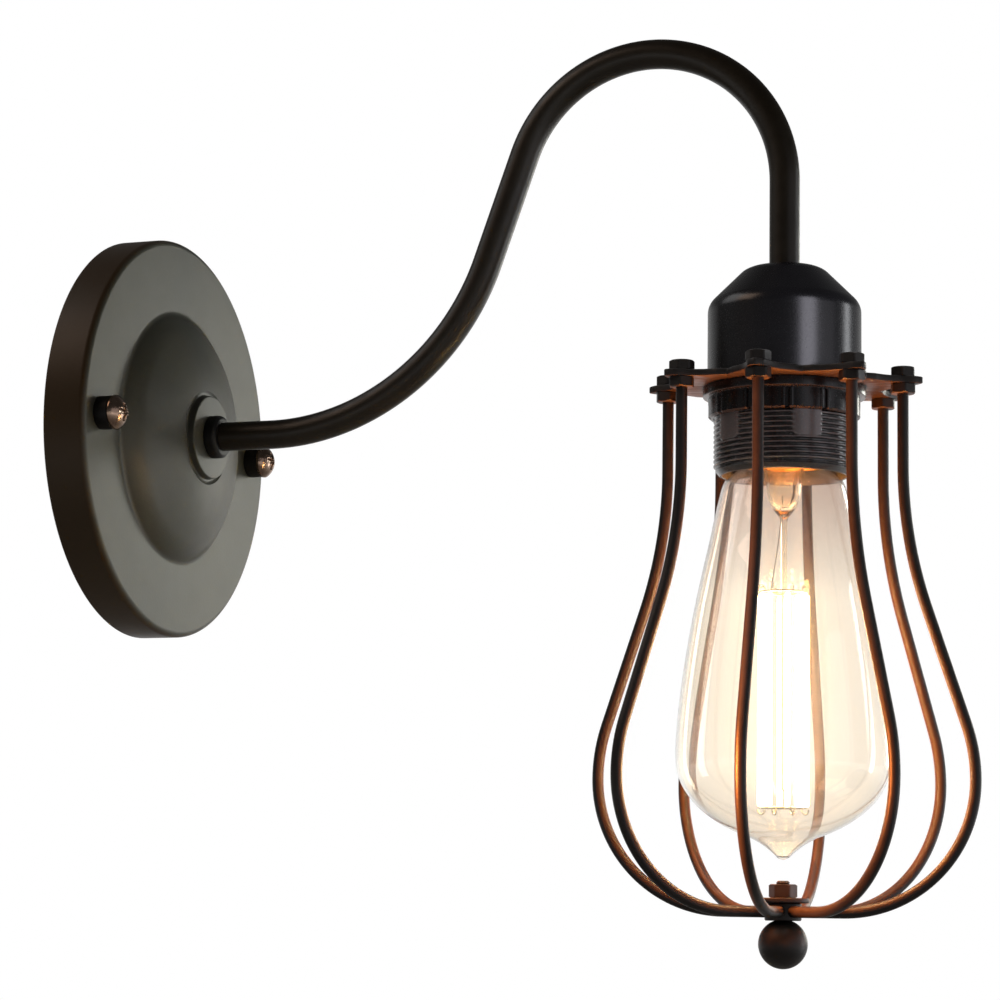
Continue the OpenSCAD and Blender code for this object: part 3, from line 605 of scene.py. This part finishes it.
def skirtProfile():
    low, root, neck, neckTop, bore = (holder[k] for k in ("low", "root", "neck", "neckTop", "bore"))
    shoulder = holder["seat"] + holder["flange"]
    outside = np.c_[np.full(330, root), np.linspace(shoulder, low + holder["threadLow"], 330)]
    mouth = softCorners(np.array(holder["mouth"]) + [0, low], 0.25, 4)
    return np.concatenate([[[bore, neckTop], [neck, neckTop], [neck, shoulder + 0.05]], outside, mouth])


placeMesh("holderSkirt", atLamp(spin(skirtProfile(), 256, skirtBump)), "fixture", ["holder_skirt"],
          threadBlack, crease=50)

ring = {
    "bore": 21.27, "rim": 24.5, "rimHeight": 3.0, "grip": 22.7, "height": 9.5, "foot": 0.6, "slots": 12,
    "turn": -162.3, "half": 1.35, "slotDepth": 0.72, "slotEdge": 0.12, "crown": 0.10, "crownAngle": 3.2,
    "crownWidth": 0.9,
}


def ringSlots(a, r, h):
    # slots between the grip's panels: the radius drops inside half an angle of each, with a low crown beside
    away = np.abs(awayFrom(a, ring["turn"], ring["slots"]))
    depth = ring["slotDepth"] / (1 + np.exp((away - ring["half"]) / ring["slotEdge"]))
    crown = ring["crown"] * np.exp(-(((away - ring["crownAngle"]) / ring["crownWidth"]) ** 2))
    onGrip = (r > ring["grip"] - ring["foot"] - 0.05) & (h < -ring["rimHeight"] - 0.3)
    return r + np.where(onGrip, crown - depth, 0), h


def shadeRingProfile():
    bore, rim, grip, foot = (ring[k] for k in ("bore", "rim", "grip", "foot"))
    rimLow = -ring["rimHeight"]
    low = -ring["height"]
    rimSide = [[bore, 0], [rim, 0], [rim, rimLow], [grip, rimLow], [grip, rimLow - 0.35]]
    gripSide = np.c_[np.full(6, grip), np.linspace(rimLow - 0.4, low + foot, 6)]
    gripFoot = [[grip, low + foot - 0.05], [grip - foot, low], [bore, low]]
    return np.concatenate([softCorners(rimSide, 0.35, 5), gripSide, softCorners(gripFoot, 0.2, 4)])


shadeRing = atLamp(spin(shadeRingProfile(), 1440, ringSlots), holder["seat"])
placeMesh("shadeRing", shadeRing, "ring", ["shade_ring"], holderBlack, crease=40)
print("lampholder made")

cage = {
    "wires": 8, "wire": 1.7, "circle": 36.0, "turn": 3.3, "widest": 57.0, "drop": 117.4, "flare": 18.5,
    "flareRadius": 135.0, "swell": 50.0, "belly": 39.0, "nut": 3.95, "nutHeight": 3.0, "nutBore": 1.72,
    "upperTurn": 8, "lowerTurn": 21,
}
flange = {
    "inner": 21.5, "thick": holder["flange"], "edge": 0.35, "bevel": 0.1, "tabReach": 6.0, "biteOut": 10.0,
    "biteRadius": 15.2, "count": 1440, "easing": 13,
    # one tab's slanted edges, as distance past the circle of wires and half width
    "tip": (6.4, 0), "shoulder": (2.4, 4), "root": (-4, 8),
}
wireAngles = np.radians(cage["turn"] - 90 + 360 / cage["wires"] * np.arange(cage["wires"]))


def flangeGrid():
    # star of tabs in polar form: the lesser of each tab's slanted edges and the round bite between two tabs
    reach = cage["circle"]
    count = flange["count"]
    farOut = 99.0
    a = np.linspace(0, 2 * np.pi, count, endpoint=False)
    f = np.radians(np.abs(awayFrom(a, cage["turn"], cage["wires"])))

    def edge(p, q):
        # distance from the centre to the line through p and q, along the angle f
        across = ((reach + p[0]) * q[1] - p[1] * (reach + q[0])) / (
            (q[1] - p[1]) * np.cos(f) - (q[0] - p[0]) * np.sin(f))
        return np.where(across > 0, across, farOut)

    tab = np.minimum(edge(flange["shoulder"], flange["tip"]), edge(flange["root"], flange["shoulder"]))
    slant = math.pi / cage["wires"] - f
    biteAt = reach + flange["biteOut"]
    underRoot = np.clip(flange["biteRadius"] ** 2 - (biteAt * np.sin(slant)) ** 2, 0, None)
    bite = np.where(underRoot > 0, biteAt * np.cos(slant) - np.sqrt(underRoot), farOut)
    star = np.minimum(np.minimum(tab, bite), reach + flange["tabReach"])
    # a short bell of weights carried round the outline eases its corners
    kernel = np.hanning(flange["easing"]) / np.hanning(flange["easing"]).sum()
    half = flange["easing"] // 2
    star = np.convolve(np.r_[star[-half:], star, star[:half]], kernel, "valid")
    thick, edgeWidth, bevel = (flange[k] for k in ("thick", "edge", "bevel"))
    inner = np.full(count, flange["inner"])
    rows = [
        (inner, 0), (star - edgeWidth, 0), (star - bevel, bevel), (star, edgeWidth),
        (star, thick - edgeWidth), (star - bevel, thick - bevel), (star - edgeWidth, thick), (inner, thick),
    ]
    return np.stack([np.stack([r * np.cos(a), r * np.sin(a), np.full(count, h)], -1) for r, h in rows])


placeMesh("cageFlange", atLamp(flangeGrid(), holder["seat"]), "fixture", ["cage_flange"], cageEnamel)


def nutGrid(corner, height, bore, turn):
    # a six-sided nut: flat sides at r = apothem / cos(angle from the flat's middle), and a cone cuts its
    # corners back
    count = 72
    easing = 0.12
    coneSlope = 0.62
    a = np.linspace(0, 2 * np.pi, count, endpoint=False)
    apothem = corner * math.cos(math.pi / 6)
    side = apothem / np.cos((a + math.pi / 6) % (math.pi / 3) - math.pi / 6)
    side = np.minimum(side, corner - easing)
    cut = (side - apothem + easing) * coneSlope
    face = np.full(count, apothem - easing)
    hole = np.full(count, bore)
    low = np.zeros(count)
    high = np.full(count, height)
    rows = [(hole, low), (face, low), (side, cut), (side, height - cut), (face, high), (hole, high)]
    a = a + math.radians(turn)
    return np.stack([np.stack([r * np.cos(a), r * np.sin(a), h], -1) for r, h in rows])


def atEachWire(grid, z):
    # the same grid on the circle of wires, turned with each wire
    grids = []
    for angle in wireAngles:
        c = math.cos(angle)
        s = math.sin(angle)
        x = grid[..., 0] + cage["circle"]
        y = grid[..., 1]
        grids.append(atLamp(np.stack([x * c - y * s, x * s + y * c, grid[..., 2]], -1), z))
    return grids


nutSeats = {
    "upper": (cage["upperTurn"], holder["seat"] + flange["thick"]),
    "lower": (cage["lowerTurn"], holder["seat"] - cage["nutHeight"]),
}
for level, (turn, seat) in nutSeats.items():
    nut = nutGrid(cage["nut"], cage["nutHeight"], cage["nutBore"], turn)
    joinGrids(level + "Nuts", atEachWire(nut, seat), "fixture", [f"cage_{level}_nuts"], cageEnamel, crease=25)


def wirePath():
    # (distance from the lamp's axis, height): down from the flange, out along the flare, round the belly and
    # in to the hub, where the ends of the wires stop just short of each other
    flare = math.radians(cage["flare"])
    both = cage["flareRadius"] + cage["swell"]
    slope = (cage["widest"] - cage["circle"] - both * (1 - math.cos(flare))) / math.sin(flare)
    flareZ = holder["seat"] - cage["drop"] + both * math.sin(flare) + slope * math.cos(flare)
    top = holder["seat"] + flange["thick"] + cage["nutHeight"] + 0.3
    end = cage["wire"] / math.sin(math.pi / cage["wires"]) + 0.25
    return flatPath((cage["circle"], top), -90, [
        (top - flareZ, cage["flareRadius"], cage["flare"]), (slope, cage["swell"], -cage["flare"]),
        (0, cage["belly"], -90), (cage["widest"] - cage["belly"] - end, 0, 0),
    ], 1.5)


wireLine = wirePath()
for k, angle in enumerate(wireAngles, 1):
    wire = radialRod(angle, wireLine[:, 0], wireLine[:, 1], cage["wire"], 24)
    placeMesh(f"cageWire{k}", wire, "fixture", [f"cage_wire_{k}"], cageEnamel, closedAlong=False)

hub = {"z": -149.4, "bore": 2.06, "collar": 5.43, "half": 2.6, "disc": 7.75, "discTop": 4.1, "nut": 4.33,
       "nutHeight": 4.0, "nutTurn": 12}
hubCollar = spin(ringSection(hub["bore"], hub["collar"], -hub["half"], hub["half"], 0.5, 5), 72)
placeMesh("hubCollar", atLamp(hubCollar, hub["z"]), "fixture", ["hub_collar"], cageEnamel)
hubDisc = spin(ringSection(hub["bore"], hub["disc"], hub["half"], hub["discTop"], 0.4, 5), 96)
placeMesh("hubDisc", atLamp(hubDisc, hub["z"]), "fixture", ["hub_disc"], cageEnamel)
hubNut = nutGrid(hub["nut"], hub["nutHeight"], hub["bore"], hub["nutTurn"])
placeMesh("hubNut", atLamp(hubNut, hub["z"] + hub["discTop"]), "fixture", ["hub_nut"], cageEnamel, crease=25)

ball = {"radius": 7.3, "flat": 2.6, "stud": 2.0, "top": 8.6, "tip": 0.5, "pitch": 0.7, "grooveDepth": 0.16}


def ballProfile():
    # the ball with its flat against the hub, then the stud up through it
    seat = -hub["half"]
    centre = seat - math.sqrt(ball["radius"] ** 2 - ball["flat"] ** 2)
    start = math.degrees(math.asin((seat - centre) / ball["radius"]))
    stud, top, tip = (ball[k] for k in ("stud", "top", "tip"))
    return np.concatenate([
        arc((0, centre), ball["radius"], -90, start, 44),
        [[stud + 0.3, seat], [stud, seat + 0.05]],
        np.c_[np.full(90, stud), np.linspace(seat + 0.1, top, 90)],
        [[stud - tip, top + tip], [0, top + tip]],
    ])


def studThread(a, r, h):
    # helical grooves on the stud: the radius dips once every pitch
    phase = h / ball["pitch"] - a / (2 * np.pi)
    dip = ball["grooveDepth"] * (0.5 + 0.5 * np.cos(2 * np.pi * phase))
    onStud = (np.abs(r - ball["stud"]) < 0.01) & (h > 0.4 - hub["half"]) & (h < ball["top"] - 0.1)
    return np.where(onStud, r - dip, r), h


placeMesh("finialBall", atLamp(spin(ballProfile(), 96, studThread), hub["z"]), "finial", ["finial_ball"],
          cageEnamel, closedAlong=False)
print("cage made")

bulb = {
    "tip": -134.2, "wall": 0.8, "thinTip": 0.4, "thinWithin": 8.0, "stick": 0.8, "stickHigh": 62.4,
    "circle": 7.0, "sticks": 8, "stickTurn": 25, "ringHigh": 79.0, "ringLow": 15.0,
}
glassOutline = [
    [0, 0], [1.3, 0.4], [3, 1.9], [5.6, 4], [9.2, 6.1], [14.2, 8.1], [19.4, 10.8], [23.9, 14.1], [27.6, 17.9],
    [30.2, 22], [31.6, 26.2], [32, 30.5], [31.8, 36.5], [31.1, 45], [30, 54], [28.6, 63.2], [26.5, 75],
    [24.3, 85.5], [22.3, 94.3], [20.9, 101], [19.6, 106.8], [17.9, 112.4], [15.8, 115.4], [13.6, 117.2],
    [12.5, 118.1], [12.5, 121.3],
]


def smoothLine(knots, count):
    # cubic through the knots, each with the slope of its neighbours' chord, at even steps of chord length
    knots = np.asarray(knots, float)
    length = np.r_[0, np.cumsum(np.linalg.norm(np.diff(knots, axis=0), axis=1))]
    slope = np.gradient(knots, length, axis=0)
    s = np.linspace(0, length[-1], count)
    i = np.clip(np.searchsorted(length, s, "right") - 1, 0, len(knots) - 2)
    width = (length[i + 1] - length[i])[:, None]
    t = ((s - length[i])[:, None]) / width
    return ((2 * t**3 - 3 * t**2 + 1) * knots[i] + (t**3 - 2 * t**2 + t) * width * slope[i]
            + (3 * t**2 - 2 * t**3) * knots[i + 1] + (t**3 - t**2) * width * slope[i + 1])


def glassProfile():
    # outside of the bulb, then the inside, a wall's thickness along the normal, thinner at the tip
    outside = smoothLine(glassOutline, 220)
    outside[:, 0] = np.maximum(outside[:, 0], 0)
    outside[0] = (0, 0)
    along = np.gradient(outside, axis=0)
    normal = np.c_[along[:, 1], -along[:, 0]] / np.linalg.norm(along, axis=1)[:, None]
    thin = bulb["thinTip"]
    wall = bulb["wall"] * (thin + (1 - thin) * np.clip(outside[:, :1] / bulb["thinWithin"], 0, 1))
    # the inside starts a little off the axis, where its points no longer cross, and closes on the axis
    inside = (outside - wall * normal)[3:]
    inside = inside[inside[:, 0] > 0.25]
    inside[-1, 1] = outside[-1, 1]
    return np.concatenate([outside, inside[::-1], [[0, inside[0, 1]]]])


bulbGlass = atLamp(spin(glassProfile(), 160), bulb["tip"])
glassPiece = placeMesh("bulbGlass", bulbGlass, "bulb", ["bulb_glass"], amberGlass, closedAlong=False,
                       crease=60)

# outlines as radius and height below the stem's top
stem = {
    "top": -13.0,
    "outside": [[10.8, 0], [11.3, -0.5], [8, -1.6], [6.2, -3.6], [5.4, -7], [5.2, -12], [4.4, -15.2],
                [2.8, -17.6], [1.1, -19.4], [1.0, -30], [1.0, -100], [0, -101]],
    "inside": [[0, -16.6], [1.6, -16.4], [3.4, -14.9], [4.4, -12], [4.6, -7], [5.4, -3.2], [7.6, -1.0],
               [10.4, 0]],
}
# the flared tube is hollow down to where it is pressed shut on the rod
stemLine = np.concatenate([softCorners(stem["inside"], 1.4, 6), softCorners(stem["outside"], 2.0, 6)])
bulbStem = atLamp(spin(stemLine, 64), stem["top"])
stemPiece = placeMesh("bulbStem", bulbStem, "bulb", ["bulb_stem"], stemGlass, closedAlong=False, crease=60)

# ringUp lifts a ring's middle over its mark, and aboveRing lifts the sticks' feet
supports = {
    "ringUp": 0.3, "aboveRing": 0.6, "ringWidth": 0.42, "ringHeight": 0.3, "ringIn": 0.15,
    "hookTurn": 0.2, "hookRadius": 1.1, "hookStart": 0.5, "hookRise": 1.5, "hookWire": 0.2,
    "spokes": 4, "spokeStart": 1.1, "spokeEnd": 0.3, "spokeWire": 0.26, "leadWire": 0.22,
}
lowRing = bulb["tip"] + bulb["ringLow"]
highRing = bulb["tip"] + bulb["ringHigh"]
stickAngles = np.radians(bulb["stickTurn"] + 360 / bulb["sticks"] * np.arange(bulb["sticks"]))
stickLine = np.concatenate([arc((0, bulb["stick"]), bulb["stick"], -90, 0, 8),
                            arc((0, bulb["stickHigh"]), bulb["stick"], 0, 90, 8)])


def stickGrids():
    stick = atLamp(spin(stickLine, 20), lowRing + supports["aboveRing"])
    return [stick + [bulb["circle"] * math.cos(a), bulb["circle"] * math.sin(a), 0] for a in stickAngles]


joinGrids("filamentSticks", stickGrids(), "bulb", ["filament_sticks"], litStick, False, 60)


def supportRings():
    # two wire rings, one under the sticks' feet and one over their tops
    steps = 48
    a = np.linspace(0, 2 * np.pi, steps, endpoint=False)
    section = a[:, None]
    r = bulb["circle"] - supports["ringIn"] + supports["ringWidth"] * np.cos(section)
    grids = []
    for z in (lowRing, highRing):
        height = z + supports["ringUp"] + supports["ringHeight"] * np.sin(section)
        grids.append(np.stack([r * np.cos(a), r * np.sin(a) + lampY, np.repeat(height, steps, 1)], -1))
    return grids


joinGrids("filamentRings", supportRings(), "bulb", ["filament_supports"], supportWire)


def hooksAndSpokes():
    grids = []
    for ringZ, side in ((lowRing, -1), (highRing, 1)):
        z = ringZ + supports["ringUp"]
        for angle in stickAngles:
            # an open loop over the ring: half a turn from inside it to outside it
            t = np.linspace(0, np.pi, 12)
            r = bulb["circle"] - supports["hookRadius"] * np.cos(t)
            height = z + side * (supports["hookStart"] + supports["hookRise"] * np.sin(t))
            grids.append(radialRod(angle + supports["hookTurn"], r, height, supports["hookWire"], 10))
    for ringZ in (lowRing, highRing):
        for step in range(supports["spokes"]):
            # a spoke from the stem's rod out to the ring
            r = np.linspace(supports["spokeStart"], bulb["circle"] - supports["spokeEnd"], 12)
            height = np.full(12, ringZ + supports["ringUp"])
            turn = step * 2 * math.pi / supports["spokes"]
            grids.append(radialRod(turn, r, height, supports["spokeWire"], 10))
    return grids


spokePiece = joinGrids("filamentSpokes", hooksAndSpokes(), "bulb", [], supportWire, False)
# turn in degrees, radius and height below the stem's top where the wire leaves it, and the bow's power
wireRuns = {
    "left": {"turn": 160, "radius": 1.3, "below": 18.5, "bow": 1.3},
    "right": {"turn": 22, "radius": 4.9, "below": 12.5, "bow": 1.0},
}


def stemWire(run):
    # from the stem to the top ring: radius and height run on together, the radius bowed by a power
    t = np.linspace(0, 1, 24)
    start = stem["top"] - run["below"]
    r = run["radius"] + (bulb["circle"] - 0.4 - run["radius"]) * t ** run["bow"]
    z = start + (highRing + 0.4 - start) * t
    return radialRod(math.radians(run["turn"]), r, z, supports["leadWire"], 10)


stemWires = [stemWire(run) for run in wireRuns.values()]
leadPiece = joinGrids("stemWires", stemWires, "bulb", [], supportWire, False)
for piece in (glassPiece, stemPiece):
    piece.visible_shadow = False
print("bulb made")

cageParts = ["cageFlange", "upperNuts", "lowerNuts", "hubCollar", "hubDisc", "hubNut", "finialBall"]
cageParts += [f"cageWire{k}" for k in range(1, cage["wires"] + 1)]
# the key lamp would put a white line on the cup's side, so it passes the cup by
lamps = {
    "key": {"place": (1.20, -0.58, 0.13), "size": (0.25, 0.5), "power": 3.0, "colour": (1.0, 1.0, 0.90),
            "leavesOut": ["holderCup"]},
    "window": {"place": (0.66, -1.27, -0.04), "size": (0.26, 0.9), "power": 4.2, "colour": (0.95, 0.97, 1.0)},
    "front": {"place": (-0.50, -1.45, 0.0), "size": (1.3, 0.9), "power": 2.2, "colour": (0.94, 0.92, 1.0)},
    "side": {"place": (-0.60, 0.50, 0.72), "size": (0.5, 0.5), "power": 1.7, "colour": (1.0, 0.72, 0.55)},
    "back": {"place": (-0.2, 0.9, 0.8), "size": (0.7, 0.7), "power": 2.0, "colour": (1.0, 1.0, 1.0)},
    "above": {"place": (-0.1, -0.2, 1.1), "size": (1.6, 1.6), "power": 14.0, "colour": (1.0, 1.0, 1.0),
              "reaches": cageParts + ["shadeRing"]},
    "band": {"place": (-0.82, -1.22, 0.25), "size": (0.54, 0.9), "power": 6.8, "colour": (0.90, 0.88, 1.0),
             "reaches": ["holderCup"]},
}
lampAim = (0, -0.13, -0.02)
# the filament's warm light as point lamps, each reaching only the pieces it is named for
glows = {
    "filament": {"place": (0.0, -0.217, -0.092), "radius": 0.028, "power": 5.0, "colour": (1.0, 0.25, 0.045),
                 "reaches": cageParts + ["shadeRing", "screw_shell"]},
    "neck": {"place": (0.0, -0.217, -0.012), "radius": 0.006, "power": 0.30, "colour": (1.0, 0.44, 0.10),
             "reaches": ["holderSkirt", "screw_shell", "holder_insert", "bulb_cap"]},
    "spill": {"place": (-0.105, -0.150, -0.105), "radius": 0.02, "power": 5.5, "colour": (1.0, 0.25, 0.05),
              "reaches": ["cageWire7", "cageWire8"]},
}


def linkReceivers(lampObject, names, state):
    # the lamp lights only the named pieces, or with EXCLUDE all but them
    group = bpy.data.collections.new(lampObject.name + "Receivers")
    for receiver in names:
        group.objects.link(nodes[receiver] if receiver in nodes else bpy.data.objects[receiver])
    for member in group.collection_objects:
        member.light_linking.link_state = state
    lampObject.light_linking.receiver_collection = group


def addLamp(name, kind, values):
    lamp = bpy.data.lights.new(name, kind)
    lamp.energy = values["power"]
    lamp.color = values["colour"]
    lampObject = bpy.data.objects.new(name, lamp)
    scene.collection.objects.link(lampObject)
    lampObject.location = values["place"]
    if "reaches" in values:
        linkReceivers(lampObject, values["reaches"], "INCLUDE")
    if "leavesOut" in values:
        linkReceivers(lampObject, values["leavesOut"], "EXCLUDE")
    return lampObject


def makeLights():
    for name, values in lamps.items():
        lampObject = addLamp(name, "AREA", values)
        lampObject.data.shape = "RECTANGLE"
        lampObject.data.size, lampObject.data.size_y = values["size"]
        look = Vector(lampAim) - Vector(values["place"])
        lampObject.rotation_euler = look.to_track_quat("-Z", "Y").to_euler()
    for name, values in glows.items():
        glow = addLamp(name, "POINT", values)
        glow.data.shadow_soft_size = values["radius"]
        glow.visible_camera = False
        glow.visible_transmission = False


def combine(tree, operation, first, second):
    node = tree.nodes.new("ShaderNodeMath")
    node.operation = operation
    tree.links.new(first, node.inputs[0])
    tree.links.new(second, node.inputs[1])
    return node.outputs[0]


# side is the level way to the camera: mirror rays meet white straight behind and low, and dark past turn
# and rise, which are shares of a ray's length along side and up
room = {"side": (-0.935, -0.355, 0.0), "turn": (-0.95, -0.35), "rise": (0.0, 0.35), "dark": 0.12,
        "world": 0.035}


def seenDirectly(tree, mirrored):
    # 1 for rays from the camera and through glass, and as much as mirrored says for mirror rays
    path = tree.nodes.new("ShaderNodeLightPath")
    glossy = combine(tree, "MULTIPLY", path.outputs["Is Glossy Ray"], mirrored)
    seen = combine(tree, "MAXIMUM", path.outputs["Is Camera Ray"], path.outputs["Is Transmission Ray"])
    return combine(tree, "MAXIMUM", seen, glossy)


def roomShade(tree):
    # what a mirror ray meets: the white backdrop low and behind, or the dark room above and round the camera
    sky = tree.nodes.new("ShaderNodeTexCoord").outputs["Generated"]
    across = vectorMath(tree, "DOT_PRODUCT", sky, room["side"]).outputs["Value"]
    height = tree.nodes.new("ShaderNodeSeparateXYZ")
    tree.links.new(sky, height.inputs[0])
    behind = spread(tree, across, 1.0, room["dark"], *room["turn"])
    low = spread(tree, height.outputs["Z"], 1.0, room["dark"], *room["rise"])
    return combine(tree, "MULTIPLY", behind, low)


def makeWorld():
    world = bpy.data.worlds.new("studio")
    scene.world = world
    world.use_nodes = True
    tree = world.node_tree
    background = tree.nodes["Background"]
    background.inputs["Color"].default_value = (1, 1, 1, 1)
    strength = spread(tree, seenDirectly(tree, roomShade(tree)), room["world"], 1.0, 0.0, 1.0)
    tree.links.new(strength, background.inputs["Strength"])


# metres; over fade the floor turns white from its nearWhite share, and over farOff for mirror rays
ground = {"size": 3.0, "height": -0.42, "colour": (0.80, 0.80, 0.79), "nearWhite": 0.72, "fade": (0.3, 1.35),
          "farOff": (0.6, 2.0)}


def makeFloor():
    size = ground["size"]
    height = ground["height"]
    corners = [(-size, -size, height), (size, -size, height), (size, size, height), (-size, size, height)]
    mesh = bpy.data.meshes.new("floor")
    mesh.from_pydata(corners, [], [(0, 1, 2, 3)])
    floor = bpy.data.objects.new("floor", mesh)
    scene.collection.objects.link(floor)
    material, tree, shader = newMaterial("paleFloor")
    shader.inputs["Base Color"].default_value = (*ground["colour"], 1)
    shader.inputs["Roughness"].default_value = 0.9
    shader.inputs["Specular IOR Level"].default_value = 0.0
    # the floor stays pale under the object, and melts into the white behind it further off
    distance = distanceFrom(tree, (0, 0, 0), (1, 1, 1))
    fade = spread(tree, distance, ground["nearWhite"], 1.0, *ground["fade"])
    farOff = spread(tree, distance, 0.0, 1.0, *ground["farOff"])
    white = tree.nodes.new("ShaderNodeEmission")
    mix = tree.nodes.new("ShaderNodeMixShader")
    tree.links.new(combine(tree, "MULTIPLY", fade, seenDirectly(tree, farOff)), mix.inputs["Fac"])
    tree.links.new(shader.outputs[0], mix.inputs[1])
    tree.links.new(white.outputs[0], mix.inputs[2])
    tree.links.new(mix.outputs[0], tree.nodes["Material Output"].inputs["Surface"])
    mesh.materials.append(material)


makeLights()
makeWorld()
makeFloor()
scene.view_settings.view_transform = "Standard"
print("light and stage made")
